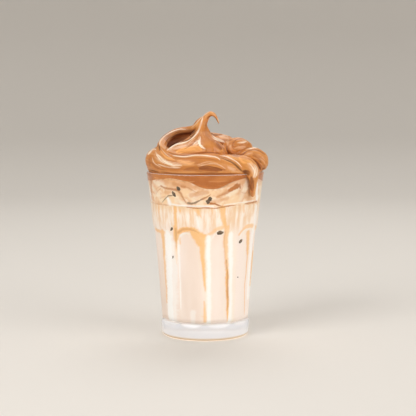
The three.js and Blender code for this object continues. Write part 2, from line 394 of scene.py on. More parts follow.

# %% [markdown]
# ### Clear glass
# Real glass bends light, so it is a transmission shader with nearly the bend of soda glass. Lamps
# can't find their way through bent glass in a few samples, so their shadow rays pass straight
# through a transparent shader instead. Faint ripples show that it was pressed in a mould. The thick
# base and the rounded rim would gather light and shine nearly white, so they let less through and
# show white instead, which is painted light. The foot has a warm edge and a faint painted glow,
# though glass is no lamp.

# %% Glass material
# Heights that each change runs between, and how much light is let in or given off
# The base and the rim let less light through and show white there: painted light
BASE_LOW, BASE_HIGH, BASE_LETS_IN = 11.4, 14.6, 0.3
RIM_LOW, RIM_HIGH, RIM_LETS_IN = 122.2, GLASS_HEIGHT - 0.2, 0.62
WARM_LOW, WARM_HIGH = 1.2, 3
GLOW_LOW, GLOW_HIGH, FOOT_PAINTED_GLOW = 0.3, 1, 0.4
clear_glass, shader = new_material("clear pressed glass")
fill_inputs(shader, Roughness=0.03, IOR=1.45)
above_warm = height_share(clear_glass, WARM_LOW, WARM_HIGH)
warm_edge = mix_color(clear_glass, above_warm, "Result", rgb(232, 204, 168), rgb(243, 247, 255))
above_base = height_share(clear_glass, BASE_LOW, BASE_HIGH)
glass_color = mix_color(clear_glass, above_base, "Result", warm_edge, (0.985, 0.99, 0.99, 1))
set_base_color(clear_glass, glass_color, shader)
# A faint painted glow at the foot, though the glass is no lamp
glow = height_share(clear_glass, GLOW_LOW, GLOW_HIGH, FOOT_PAINTED_GLOW, 0)
join(clear_glass, glow, "Result", shader, "Emission Strength")
through_wall = height_share(clear_glass, BASE_LOW, BASE_HIGH, BASE_LETS_IN, 1.0)
through_rim = height_share(clear_glass, RIM_LOW, RIM_HIGH, 1.0, RIM_LETS_IN)
let_in = times(clear_glass, through_wall, "Result", through_rim, "Result")
join(clear_glass, let_in, "Value", shader, "Transmission Weight")
add_bump(clear_glass, object_noise(clear_glass, 0.05, (1, 1, 0.4), 1.0), shader, 0.05)
let_through = add_node(clear_glass, "ShaderNodeBsdfTransparent", Color=(0.96, 0.97, 0.97, 1))
light_path = add_node(clear_glass, "ShaderNodeLightPath")
either = add_node(clear_glass, "ShaderNodeMixShader")
output = clear_glass.node_tree.nodes["Material Output"]
join(clear_glass, light_path, "Is Shadow Ray", either, "Fac")
clear_glass.node_tree.links.new(shader.outputs["BSDF"], either.inputs[1])
clear_glass.node_tree.links.new(let_through.outputs["BSDF"], either.inputs[2])
join(clear_glass, either, "Shader", output, "Surface")
tumbler.data.materials.append(clear_glass)
print("material", clear_glass.name)

# %% [markdown]
# ## What fills the glass
# Milk, froth and whipped coffee all touch the wall, so each is a band turned round the middle line.
# Each band reaches a little way into the glass, or a gap of air would shine between them. A band's
# wall is cut into many rows, so that trails of coffee can be painted on its points further down.

# %% Bands against the wall of the glass
MILK_LEVEL, COFFEE_LEVEL, COFFEE_TOP = 100, 119.9, 122.6
SAME_HEIGHT = 1e-3
# Where the whipped coffee sags into the froth: degrees from the front, half width, depth
COFFEE_SAGS = [(6, 19, 7.6), (92, 22, 4.6), (158, 18, 6.6), (218, 20, 4.2), (281, 22, 3.4)]


def meeting_height(degrees):
    """The height on the wall where the whipped coffee meets the froth."""
    up = COFFEE_LEVEL
    for middle, half_width, depth in COFFEE_SAGS:
        away = (degrees - middle + 180) % 360 - 180
        up -= depth * math.exp(-((away / half_width) ** 2))
    turn = math.radians(degrees)
    return up + 0.3 * math.sin(9 * turn + 0.7) + 0.2 * math.sin(17 * turn)


def wall_band(name, columns, rows, low, high, under=()):
    """A band from a low to a high edge, each given as a height for an angle in degrees.
    under holds the profile below the wall, from the middle line outwards."""
    start = list(under) or [(0, low(0))]
    wall = [(inner_radius(low(0)), low(0)), (inner_radius(high(0)), high(0))]
    bm = spin_profile([*start, *wall, (0, high(0))], columns)
    share = bm.verts.layers.float.new("share")
    for vertex in bm.verts:
        on_top = abs(vertex.co.z - high(0)) < SAME_HEIGHT
        vertex[share] = 1.0 if on_top else 0.0
    wall_edges = [
        edge
        for edge in bm.edges
        if abs(edge.verts[0][share] - edge.verts[1][share]) > 0.5
        and min(math.hypot(*v.co.xy) for v in edge.verts) > NEAR_MIDDLE
    ]
    bmesh.ops.subdivide_edges(bm, edges=wall_edges, cuts=rows - 1)
    bottom = wall[0][1]
    for vertex in bm.verts:
        out = math.hypot(*vertex.co.xy)
        if vertex.co.z < bottom - SAME_HEIGHT or out < NEAR_MIDDLE:
            continue
        degrees = math.degrees(math.atan2(vertex.co.x, -vertex.co.y))
        along = (vertex.co.z - bottom) / (high(0) - bottom)
        vertex.co.z = low(degrees) + along * (high(degrees) - low(degrees))
        set_radius(vertex, out, inner_radius(vertex.co.z) + INTO_WALL)
    bm.verts.layers.float.remove(share)
    return finish_mesh(bm, name)


corner_up = FLOOR_HEIGHT + FLOOR_FILLET
milk_foot = [(0, FLOOR_HEIGHT - INTO_WALL)]
milk_foot += arc(inner_radius(corner_up) - FLOOR_FILLET, corner_up, FLOOR_FILLET + INTO_WALL, -90, -6, 9)
milk = wall_band("milk_body", 360, 140, lambda d: corner_up, lambda d: MILK_LEVEL, milk_foot)
froth = wall_band("froth_band", 480, 42, lambda d: MILK_LEVEL, meeting_height)
coffee_band = wall_band("coffee_in_glass", 480, 18, meeting_height, lambda d: COFFEE_TOP)
for piece, node in ((milk, "milk"), (froth, "milk_foam"), (coffee_band, "whipped_coffee")):
    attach(piece, "root")
    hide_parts(node)

# %% [markdown]
# ### Trails of coffee, and painted highlights
# Coffee runs down into the milk in ochre trails and draws thin brown lines through the froth, and
# ochre lines trace the arches of the panels. The white and cream bands where the panels meet, and
# thin white lines under the arches, are painted highlights of the glass's edges on the milk, and
# the dark lines in the froth are painted shade in its creases. Each mark here is a stroke: what it
# is, how strong, its half width at its start and at its end, and its points as degrees from the
# front and height. A point of a band takes a stroke's strength by how near it lies, with the edge
# roughened by noise.

# %% Strokes on the front
STROKES = [
    # Trails down the milk
    ("ochre", 0.85, 1.5, 1.3, [(-33.2, 99.5), (-35.2, 85.5)]),
    ("ochre", 0.9, 1.9, 0.3, [(-35.2, 84), (-36.6, 77), (-37.6, 66), (-38.3, 56)]),
    ("brown", 0.4, 0.8, 0.5, [(-35.4, 83), (-36.8, 74), (-37.2, 68)]),
    ("ochre", 0.8, 1.9, 1.5, [(18.4, 99), (18.8, 95.8), (21.2, 89), (24.4, 84.4)]),
    ("ochre", 0.7, 2.4, 2.1, [(25.2, 84.4), (25.4, 75.6), (27.4, 64.6), (29.5, 51.8)]),
    ("brown", 0.25, 0.35, 0.3, [(23.4, 82), (22.9, 75), (24.8, 64), (27.2, 51.8)]),
    ("ochre", 1.0, 1.9, 1.6, [(29.5, 52), (31.4, 39.8), (32.4, 28.5)]),
    ("brown", 0.6, 0.4, 0.9, [(27.4, 60), (29.4, 50), (31, 39.8), (31.8, 32)]),
    ("brown", 0.5, 0.9, 0.3, [(31.8, 32.5), (32.3, 28), (32.8, 21)]),
    ("ochre", 1.0, 1.5, 0.5, [(32.3, 30), (33.8, 13.1)]),
    ("ochre", 0.8, 2.8, 1.6, [(60.4, 78.2), (62.5, 70), (64.4, 62.9)]),
    ("ochre", 0.7, 0.9, 0.5, [(64.4, 64), (63.3, 39.1), (69.8, 14.3)]),
    ("ochre", 0.8, 2.6, 1.8, [(-59.2, 79), (-60, 70), (-60.3, 62)]),
    ("ochre", 0.7, 1.8, 1.1, [(-60.3, 63), (-61.3, 51.2), (-62, 38)]),
    ("ochre", 0.65, 1.1, 1.6, [(-62, 38), (-62.8, 31), (-63, 27)]),
    # Round the arches
    ("ochre", 0.75, 1.5, 1.2, [(-74, 80.5), (-64, 79.8), (-55.9, 79.3), (-44, 78.6)]),
    ("ochre", 0.9, 1.6, 2.0, [
        (-34.2, 80.2), (-27, 82.8), (-19, 83.4), (-12.4, 82.6), (-5, 79.4), (0.9, 78),
    ]),
    ("brown", 0.4, 0.8, 0.5, [(-33, 80.6), (-26.9, 83.2), (-19, 83.9), (-12.4, 83), (-6.4, 80.6)]),
    ("ochre", 0.8, 1.2, 1.4, [(-34.4, 80), (-32.8, 76.5), (-32.6, 73)]),
    ("ochre", 0.9, 2.8, 2.2, [(-14, 81), (-9.5, 77), (-5.6, 72)]),
    ("ochre", 0.85, 2.4, 1.5, [(-3.6, 77), (-3.2, 70), (-3, 63)]),
    ("ochre", 0.9, 1.3, 0.4, [(-3, 64), (-1.6, 52), (-0.6, 44), (0.4, 36)]),
    ("ochre", 0.75, 0.3, 1.1, [(-1.2, 30), (-0.6, 22.5), (0.4, 15)]),
    ("ochre", 0.5, 0.7, 0.3, [(-1.8, 18), (-6, 18.8)]),
    ("ochre", 0.6, 1.1, 1.2, [(4.5, 80), (10.5, 82.4), (13.7, 84), (20.4, 84.6)]),
    ("ochre", 0.7, 0.9, 1.4, [(41.8, 78.6), (47, 82), (52.8, 84.1), (62, 84.6), (72, 83.4), (81, 81)]),
    # Under the milk's edge
    ("ochre", 0.6, 1.7, 0.5, [(-10.4, 98.9), (-7.4, 95.4), (-3.7, 91.5)]),
    ("ochre", 0.7, 0.9, 0.4, [(-27.6, 97.2), (-27.2, 94.2)]),
    ("ochre", 0.45, 1.1, 0.4, [(8, 98.8), (8.6, 94)]),
    ("ochre", 0.5, 1.4, 0.8, [(45, 99.4), (46, 95)]),
    ("ochre", 0.5, 1.6, 0.8, [(-58, 99), (-60, 94)]),
    # Painted highlights: cream and white bands where the panels meet, and white lines under the arches
    ("white", 1.0, 4.2, 4.8, [(-48, 77), (-51, 55), (-54, 30), (-56.4, 12)]),
    ("cream", 0.6, 2.6, 3.2, [(2.6, 78), (3.4, 55), (4, 30), (4.3, 12)]),
    ("white", 0.9, 1.5, 2.0, [(3.4, 78), (4.1, 55), (4.4, 30), (4.7, 12)]),
    ("cream", 0.6, 3.6, 2.6, [(31.4, 79), (34.4, 55), (36.6, 30), (38.3, 12)]),
    ("white", 0.85, 2.2, 1.5, [(30.8, 79), (33.6, 55), (35.8, 30), (37.5, 12)]),
    ("white", 0.7, 0.9, 0.5, [(-33.2, 74), (-34.2, 50), (-35.6, 22)]),
    ("white", 0.6, 0.6, 0.6, [(-33.2, 74), (-31.4, 77.6), (-27, 79.8), (-22, 80.4), (-16, 79.4)]),
    ("white", 0.5, 0.5, 0.5, [(8.4, 77), (10.4, 79.4), (14, 80.8), (19, 81)]),
    ("white", 0.5, 0.5, 0.5, [(45, 77), (48, 80.2), (53, 82), (60, 82.4)]),
    ("white", 0.7, 1.2, 0.6, [(-9, 92), (-6.6, 86), (-5.6, 83)]),
    ("white", 0.5, 1.1, 0.4, [(20.6, 83), (21.6, 79)]),
    ("white", 0.75, 2.0, 2.6, [(71, 97), (72, 80), (73, 60), (76, 30)]),
    ("white", 0.5, 2.2, 1.4, [(-17, 21), (-18, 12)]),
    ("white", 0.6, 2.4, 3.4, [(-40.5, 72), (-42.4, 50), (-44.4, 34), (-46.4, 12)]),
    # The milk's edge
    ("brown", 0.3, 0.5, 0.3, [(-72.4, 100.6), (-58, 100.3), (-47.2, 100.2), (-42, 99.8)]),
    ("brown", 0.9, 0.25, 0.25, [(-25.2, 99.3), (-24.2, 99.3)]),
    ("brown", 0.9, 0.25, 0.25, [(-22.8, 99.2), (-21.6, 99.3)]),
    ("brown", 1.0, 0.32, 0.42, [(-20, 99.5), (-14, 99.1), (-8, 98.9), (-0.1, 99.3), (10.6, 99)]),
    ("brown", 1.0, 0.4, 0.32, [(10.6, 99), (18.5, 99.5), (27.4, 100.4), (35.9, 100.7)]),
    ("brown", 0.95, 0.28, 0.75, [(46.4, 101.2), (56, 101.4), (69.5, 101.7)]),
    ("brown", 1.0, 0.75, 0.3, [(5.6, 102.4), (10.5, 102.2), (15.1, 100.9), (20, 99.7)]),
    ("white", 0.85, 0.6, 0.7, [(-42, 101.4), (-28, 100.6), (-14, 100.3), (-2, 100.5), (9, 100.5)]),
    ("white", 0.7, 0.4, 0.5, [(20, 101), (32, 102), (45, 102.4), (66, 103)]),
    # Coffee drawn through the froth, and dark lines of painted shade in its creases
    ("brown", 0.8, 0.7, 1.0, [(-50.7, 113.9), (-47, 113.1), (-43.5, 112.7), (-38, 112.3), (-30.1, 111.7)]),
    ("brown", 0.55, 0.3, 0.22, [(-51.2, 112.3), (-57.6, 109.8), (-63.7, 106)]),
    ("brown", 0.45, 0.3, 0.2, [(-51.5, 113.7), (-56, 112.8), (-60.6, 111)]),
    ("dark", 0.85, 0.55, 0.25, [(-36.3, 107.5), (-41.4, 107.1), (-45, 105.4), (-52.6, 101.4)]),
    ("brown", 0.3, 0.3, 0.6, [(-54.5, 104.6), (-49, 106), (-43.7, 107)]),
    ("brown", 0.7, 0.9, 0.3, [
        (-28, 111.2), (-25.2, 109.2), (-23.2, 105.8), (-20.6, 102.8), (-17.4, 100.6),
    ]),
    ("tan", 0.8, 1.3, 1.5, [(-33, 116.6), (-27, 115.4), (-21, 114.6)]),
    ("brown", 0.45, 0.9, 0.3, [(-24, 114.6), (-18.1, 113.9), (-12.4, 111.6), (-6, 109.6)]),
    ("dark", 0.9, 0.75, 0.5, [(-18.1, 102.4), (-14, 102.2), (-10.6, 102.8), (-6.7, 104.2), (-1.9, 106)]),
    ("brown", 0.8, 0.7, 0.3, [(-4, 105.3), (1.4, 106.9), (4.2, 108.2), (7.1, 109.7)]),
    ("brown", 1.0, 1.2, 2.1, [(25, 111.6), (29, 112.9), (33.6, 114.2)]),
    ("brown", 0.9, 1.4, 0.7, [(32, 114.8), (36.4, 115.3), (37.4, 113)]),
    ("brown", 0.5, 1.1, 0.3, [(27, 111.9), (21.5, 109.7), (15.5, 108.1), (11.1, 106.9)]),
    ("tan", 0.6, 1.5, 1.2, [(23, 111), (17, 108.4), (13, 107)]),
    ("brown", 0.4, 0.28, 0.22, [(36.3, 111.7), (39, 110.2), (42.5, 109.2), (54, 108.8)]),
    ("ochre", 0.3, 0.5, 0.3, [(-60, 119.8), (-46, 119.2), (-30, 119.4)]),
    ("ochre", 0.25, 0.4, 0.6, [(-40, 118), (-22, 117.6), (-10, 118.2)]),
    ("ochre", 0.22, 0.5, 0.3, [(4, 118.4), (14, 118.2), (24, 118.8)]),
    ("brown", 0.75, 1.5, 0.7, [(-67.5, 121.5), (-71.4, 113.8), (-75.3, 103)]),
    ("dark", 0.55, 0.3, 0.26, [(13, 113.2), (20, 114.6), (25, 116.9), (33, 118.7)]),
    ("white", 0.9, 1.2, 1.8, [(-41.8, 105), (-40.4, 101.6)]),
    ("white", 0.85, 1.3, 2.2, [(64.4, 115), (67, 109), (69.5, 103.4)]),
    ("cream", 0.6, 2.2, 1.2, [(24, 109), (30, 110), (37, 113)]),
    ("cream", 0.55, 2.6, 1.6, [(46, 116), (42, 110), (40, 105)]),
    ("cream", 0.5, 2, 1.4, [(-12, 106), (-6, 108.4), (0, 110)]),
    ("cream", 0.6, 1.6, 2.6, [(-62, 117), (-56, 115.6), (-48, 115)]),
    ("cream", 0.5, 1.2, 2.0, [(-66, 112), (-58, 107), (-53, 104)]),
    ("cream", 0.6, 1.4, 1.0, [(-32, 104), (-26, 102.6), (-22, 102.4)]),
    ("tan", 0.5, 1.8, 1.2, [(-44, 109.6), (-38, 110)]),
    ("tan", 0.45, 1.5, 1.1, [(4, 103), (16, 104.6), (24, 106)]),
    ("tan", 0.6, 2.0, 1.5, [(-14, 108.4), (-6, 109.6), (2, 110.8)]),
]
print(len(STROKES), "strokes on the front")

# %% [markdown]
# The back of a real glass of coffee looks much like its front, but never the same. So each stroke
# is turned to the back twice, a little moved each time by a seeded draw, and some are left out.

# %% The same kinds of stroke round the back
random.seed(11)
FRONT_REACH, BACK_TURNS, KEPT_SHARE = 74, (144, 216), 0.8
TRAILS_BELOW, FROTH_ABOVE, MILK_EDGE = 78, 86, 4
FRINGE_DRIPS = 120


def turned_strokes():
    """The front's strokes turned to the back. Those on the milk's edge keep close to its level."""
    copies = []
    for turn in BACK_TURNS:
        for kind, strength, start, end, points in STROKES:
            starts_at = points[0][1]
            shift = random.uniform(-3, 3)
            lift = random.uniform(-1, 1) if starts_at > FROTH_ABOVE else random.uniform(-5, 2)
            if abs(starts_at - MILK_LEVEL) < MILK_EDGE:
                lift *= 0.2
            sway = random.choice((1, 1, -1)) if starts_at < TRAILS_BELOW else 1
            middle = sum(degrees for degrees, _ in points) / len(points)
            places = [(middle + sway * (d - middle) + shift + turn, up + lift) for d, up in points]
            if random.random() < KEPT_SHARE:
                copies.append((kind, strength, start, end, places))
    return [
        stroke
        for stroke in copies
        if all(FRONT_REACH < degrees < 360 - FRONT_REACH for degrees, _ in stroke[4])
    ]


def fringe():
    """Short brushed drips where the whipped coffee meets the froth, all the way round."""
    for _ in range(FRINGE_DRIPS):
        degrees = random.uniform(0, 360)
        up, long = meeting_height(degrees), random.uniform(0.8, 2.6)
        kind = random.choice(("tan", "brown", "tan"))
        slant = random.uniform(-4, 4)
        line = [(degrees, up + 0.6), (degrees + slant, up - long)]
        yield kind, random.uniform(0.35, 0.75), random.uniform(0.5, 1.4), 0.2, line


ALL_STROKES = STROKES + turned_strokes() + list(fringe())
print(len(ALL_STROKES), "strokes in all")

# %% [markdown]
# A stroke reaches each point by a plain sum: how far the point lies from the stroke's line, set
# against half its width there. The edge fades softly, and noise makes it waver as a real trail
# does. The strengths are kept on the points as one attribute for each kind of stroke, which the
# material reads, so the trails stay in place from every side.

# %% Paint the strokes on a band's points
KINDS = ("ochre", "brown", "dark", "white", "cream", "tan")
WANDER, WANDER_CELL = 0.5, 7
ROUGH_EDGE, EDGE_CELL, DRIP_CELL = 0.28, 1.6, 2.4
SOFTNESS = {"white": 1.9, "cream": 2.8, "tan": 1.8, "ochre": 1.4}
EDGE_LEAST, EDGE_BY_WIDTH, HAIRLINE = 0.35, 0.3, 0.15
THIN_END, CLOSES_OVER, WALL_FROM = 0.7, 5, 20


def points_of(mesh):
    """The mesh's points in millimetres, one row each."""
    points = np.empty(len(mesh.vertices) * 3)
    mesh.vertices.foreach_get("co", points)
    return points.reshape(-1, 3) / MM


def noise_at(points, scale, seed):
    """Smooth noise from -1 to 1 at each point, with cells this many millimetres wide."""
    offset = Vector((seed * 17.3, seed * 5.1, seed * 9.7))
    return np.array([noise.noise(Vector(point) / scale + offset) for point in points])


def store(mesh, name, values):
    layer = mesh.attributes.new(name, "FLOAT", "POINT")
    layer.data.foreach_set("value", np.clip(values, 0, 1).astype(np.float32))


def along_line(places, line):
    """How far to its side each place lies from a line, where along the line, and the line's length."""
    across, walked, done = np.full(len(places), 1e9), np.zeros(len(places)), 0.0
    for a, b in zip(line, line[1:]):
        reach, step = places - np.array(a), np.array(b) - np.array(a)
        length = math.hypot(*step)
        share = np.clip(reach @ step / length**2, 0, 1)
        away = np.linalg.norm(reach - share[:, None] * step, axis=1)
        side = np.where(step[0] * reach[:, 1] < step[1] * reach[:, 0], -1, 1)
        closer = away < np.abs(across)
        across[closer], walked[closer] = (away * side)[closer], (done + share * length)[closer]
        done += length
    return across, walked, done


def stroke_cover(measured, start, end, roughness, open_mm, close_mm, softness):
    """How much a stroke covers each place, from 0 to 1. It opens and closes over these lengths."""
    across, walked, length = measured
    half_width = (start + (end - start) * walked / length) * (1 + roughness)
    for done, over in ((walked, open_mm), (length - walked, close_mm)):
        if over:
            half_width = half_width * np.sqrt(np.clip(done / over, 0, 1))
    edge = softness * (EDGE_LEAST + EDGE_BY_WIDTH * half_width)
    inside = np.clip((half_width + edge / 2 - np.abs(across)) / edge, 0, 1)
    cover = inside * np.clip(half_width / HAIRLINE, 0, 1)
    return cover * cover * (3 - 2 * cover)


def paint_strokes(piece, kinds=KINDS):
    """Stores on a band's points how strongly each kind of stroke covers them."""
    points = points_of(piece.data)
    out = np.hypot(points[:, 0], points[:, 1])
    degrees = np.degrees(np.arctan2(points[:, 0], -points[:, 1])) % 360
    wander = noise_at(points, WANDER_CELL, 1) * WANDER
    roughness = noise_at(points, EDGE_CELL, 2) * ROUGH_EDGE
    roughness += noise_at(points * (1, 1, 0.25), DRIP_CELL, 3) * ROUGH_EDGE
    masks = {kind: np.zeros(len(points)) for kind in KINDS}
    for kind, strength, start, end, line in (stroke for stroke in ALL_STROKES if stroke[0] in kinds):
        middle = sum(d for d, _ in line) / len(line)
        radius = inner_radius(line[0][1])
        arc_mm = np.radians((degrees - middle + 180) % 360 - 180) * radius
        flat_line = [(math.radians(d - middle) * radius, up) for d, up in line]
        reach = max(start, end) * 2 + 2
        low, high = np.min(flat_line, axis=0) - reach, np.max(flat_line, axis=0) + reach
        places = np.column_stack((arc_mm + wander, points[:, 2] + wander * 0.5))
        near = np.all((places > low) & (places < high), axis=1) & (out > WALL_FROM)
        if near.any():
            closing = CLOSES_OVER if end < THIN_END else 0
            measured = along_line(places[near], flat_line)
            cover = stroke_cover(measured, start, end, roughness[near], 0, closing, SOFTNESS.get(kind, 1))
            masks[kind][near] = np.maximum(masks[kind][near], cover * strength)
    for kind, values in masks.items():
        store(piece.data, kind, values)
    print(piece.name, {kind: int((values > 0.3).sum()) for kind, values in masks.items()})


paint_strokes(milk)
paint_strokes(froth)
paint_strokes(coffee_band, ("brown", "ochre"))

# %% [markdown]
# ### Milk, froth and coffee behind the glass
# Wet milk against glass has no gloss of its own, because no air lies between them, so these three
# finishes keep their shine low. Colour does the work: a base that changes with height, streaked by
# noise drawn out along the wall, and then each kind of stroke mixed over it by its own mask.

# %% Materials behind the glass
# Heights in millimetres between which one look gives way to the next
STREAKS_LOW, STREAKS_HIGH = 76, 90
PATCHES_LOW, PATCHES_HIGH = 93, 99
STAIN_LOW, STAIN_HIGH = 110, 119
BEHIND_GLASS = {"Roughness": 0.6, "Specular_IOR_Level": 0.05}
RIPPLE_HEIGHT = 0.05
# The white and cream strokes between the panels and under the arches are painted highlights, and the dark
# strokes are painted shade in the froth's creases
STROKE_COLORS = {
    "cream": rgb(250, 238, 218),
    "tan": rgb(219, 160, 108),
    "ochre": rgb(247, 196, 128),
    "white": rgb(254, 252, 248),
    "brown": rgb(192, 122, 64),
    "dark": rgb(140, 112, 84),
}


def add_strokes(material, color):
    """Mixes each kind of stroke over a colour, where its mask says so."""
    for kind, tint in STROKE_COLORS.items():
        mask = add_node(material, "ShaderNodeAttribute", attribute_name=kind)
        color = mix_color(material, mask, "Fac", color, tint)
    return color


def drink_finish(name, base):
    """A material whose base colour comes from a function, with the strokes over it."""
    material, shader = new_material(name)
    color = add_strokes(material, base(material))
    set_base_color(material, color, shader)
    fill_inputs(shader, **BEHIND_GLASS)
    add_bump(material, object_noise(material, 0.5, (1, 1, 0.3)), shader, RIPPLE_HEIGHT)
    return material


def milk_base(material):
    """Streaked cream above the arches, plain milk below, and ochre patches under the froth."""
    streaked, cream = rgb(243, 212, 178), rgb(254, 242, 230)
    upper = mottled(material, 0.32, streaked, cream, 0.38, 0.6, (1, 1, 0.1), 4.0)
    lower = mottled(material, 0.05, rgb(244, 226, 212), rgb(250, 236, 226), stretch=(1, 1, 0.2))
    streaks = height_share(material, STREAKS_LOW, STREAKS_HIGH)
    color = mix_color(material, streaks, "Result", lower, upper)
    patches = remap(material, object_noise(material, 0.16, (1, 1, 0.3)), "Fac", 0.36, 0.62)
    near_froth = height_share(material, PATCHES_LOW, PATCHES_HIGH, 0, 0.6)
    edge = times(material, near_froth, "Result", patches, "Result")
    return mix_color(material, edge, "Value", color, rgb(238, 198, 142))


def froth_base(material):
    """Clouds of froth, paler in patches, that darken towards the whipped coffee."""
    clouds = mottled(material, 0.09, rgb(232, 186, 142), rgb(247, 216, 176), 0.36, 0.62)
    pale = remap(material, object_noise(material, 0.14, (1, 1, 1.3)), "Fac", 0.47, 0.62, 0.0, 0.85)
    lit = mix_color(material, pale, "Result", clouds, rgb(252, 232, 206))
    stained = height_share(material, STAIN_LOW, STAIN_HIGH, 0, 0.55)
    return mix_color(material, stained, "Result", lit, rgb(221, 160, 110))


def coffee_base(material):
    return mottled(material, 0.08, rgb(184, 108, 46), rgb(202, 128, 62), stretch=(1, 1, 2))


milk.data.materials.append(drink_finish("milk", milk_base))
froth.data.materials.append(drink_finish("froth", froth_base))
coffee_band.data.materials.append(drink_finish("coffee on the wall", coffee_base))
print("materials behind the glass made")

# %% [markdown]
# ## The whipped coffee
# Whipped coffee keeps the path of the spoon: round folds that lie over each other, a ribbon lifted
# off the heap, and a peak that curls where the spoon came away. Each fold is a rope: a circle is
# extruded from station to station, turned and scaled on its way. All ropes then melt into one skin
# by a voxel remesh, as soft folds do.

# %% Stations of the folds: degrees from the front, out, up, radius
MOUND = [(43.4, 124.4), (43, 128), (38, 132), (29, 134.2), (22, 137), (14, 141.4), (8, 144.8), (0, 147)]
LOW_FOLDS = {
    "rim fold front": [
        (-104, 32.6, 134.6, 6.4),
        (-90, 34.6, 132.6, 8.6),
        (-72, 36.3, 130.8, 9.4),
        (-38, 35.8, 129.4, 8.6),
        (-8, 35.6, 129.6, 8.1),
        (15, 35.8, 128.6, 7.2),
        (32, 37.2, 126.6, 5),
        (43, 39, 125.4, 2.6),
    ],
    "rim fold back": [
        (66, 34.4, 128.5, 5.6),
        (84, 36.8, 130.6, 7.8),
        (104, 38, 131.2, 8.6),
        (135, 36.2, 131, 9),
        (180, 35.4, 131.2, 9.4),
        (-142, 35.6, 132.4, 9.4),
        (-114, 35, 133.2, 8.8),
        (-92, 32, 132.5, 6),
    ],
    "ribbon backing": [
        (-70, 35, 134.6, 5),
        (-98, 31.6, 138.4, 6),
        (-122, 27.4, 142.4, 6.8),
        (-146, 21, 144.8, 7.2),
        (168, 18.4, 143.4, 7.8),
        (138, 21.6, 141.6, 7.8),
        (114, 24, 138, 7.4),
    ],
    "shelf": [
        (150, 4, 147, 5),
        (104, 8.4, 145.6, 4.8),
        (90, 14, 144.2, 4.6),
        (84, 20, 141.4, 4.6),
    ],
    "broad slope": [
        (-48, 37, 134, 4),
        (-42, 29, 136, 6.4),
        (-30, 21, 136.6, 8),
        (-10, 14, 137.4, 9.4),
        (10, 12, 138.6, 9),
    ],
    "upper slope": [
        (-50, 30, 137, 4.6),
        (-47, 21.5, 140.2, 5.4),
        (-46, 14, 143.6, 5.6),
        (-44, 8, 147.6, 5),
        (-50, 4.6, 152.6, 3.8),
    ],
    "peak": [
        (-16, 12, 127, 15),
        (-12, 8, 137, 13.4),
        (-14, 4.4, 145, 9.2),
        (-60, 2, 151.4, 5.6),
        (-90, 2.6, 157.4, 4.2),
        (-90, 0.3, 161.4, 2.8),
        (90, 2.2, 165, 2.2),
        (90, 4.6, 166, 1.9),
        (90, 7.1, 164.4, 1.4),
        (90, 9.2, 161.2, 1),
        (90, 10.4, 157.4, 0.8),
    ],
}
HIGH_FOLDS = {
    "ribbon": [
        (-20, 36.4, 133.4, 3),
        (-42, 35.4, 135, 4),
        (-64, 34.4, 138.6, 4.1),
        (-84, 32, 142.8, 3.6),
        (-104, 29.3, 147.9, 3.1),
        (-122, 24.8, 151.9, 2.8),
        (-137, 17.6, 153.5, 2.8),
        (-138, 11, 154.8, 3.1),
        (-130, 5.5, 158.6, 3.3),
        (-90, 0.4, 163, 2.4),
    ],
    "lip": [
        (-52, 34, 134.4, 3.6),
        (-60, 28, 138.4, 3.6),
        (-66, 20.4, 141, 3.8),
        (-72, 12.6, 143.2, 4),
        (-84, 7.4, 147.8, 4),
        (-96, 5, 153.4, 3.6),
    ],
    "drape": [
        (-2, 4, 146.5, 7),
        (27, 11.2, 142, 6),
        (34, 18.1, 138.4, 5.2),
        (38, 24.4, 135.2, 4.4),
    ],
    "behind the dollop": [
        (70, 22, 140, 6.4),
        (90, 26, 141, 6.6),
        (110, 27, 140.4, 6.8),
        (130, 25, 139.4, 6.4),
    ],
    "dollop": [
        (60, 14, 141, 6.4),
        (64, 19, 140.2, 6.6),
        (67, 23.2, 140.8, 7.5),
        (71, 27.2, 141.2, 7.3),
        (77, 31, 140.6, 5.4),
        (82, 35, 138.4, 4),
    ],
    "right fold": [
        (56, 22, 131.2, 4),
        (61, 28.6, 131.8, 4.6),
        (63, 33.6, 134.2, 5.7),
        (65.5, 38.6, 135, 6.6),
        (71, 42, 132.6, 6.6),
        (78, 41.8, 129.4, 5.8),
        (88, 40, 128.4, 4.6),
        (100, 39.4, 128.8, 3.6),
    ],
    # It crosses the rim at 48 degrees and hangs down the outside of the glass
    "run": [
        (18, 24.5, 132.2, 3.8),
        (30, 29.6, 132, 4.6),
        (41, 36, 130.9, 5.8),
        (48, 41.4, 128.2, 6.4),
        (50.6, 44.2, 122.6, 5.1),
        (51.8, 44.2, 116.2, 3.1),
        (52.4, 43.8, 111.2, 2.2),
        (52.4, 43.4, 105.2, 1.8),
    ],
}
HOLLOW_PLACE, HOLLOW_SIZE, HOLLOW_TILT = (-104, 18, 146.6), (14, 10, 7.8), 12


def at(degrees, out, up):
    """A point at an angle from the front, a distance from the middle line and a height."""
    angle = math.radians(degrees)
    return Vector((out * math.sin(angle), -out * math.cos(angle), up))


print(len(LOW_FOLDS), "low folds and", len(HIGH_FOLDS), "high folds")

# %% A smooth path through the stations
ROPE_STEP, CURVE_STEPS, LEAST_RADIUS = 1.6, 400, 0.05


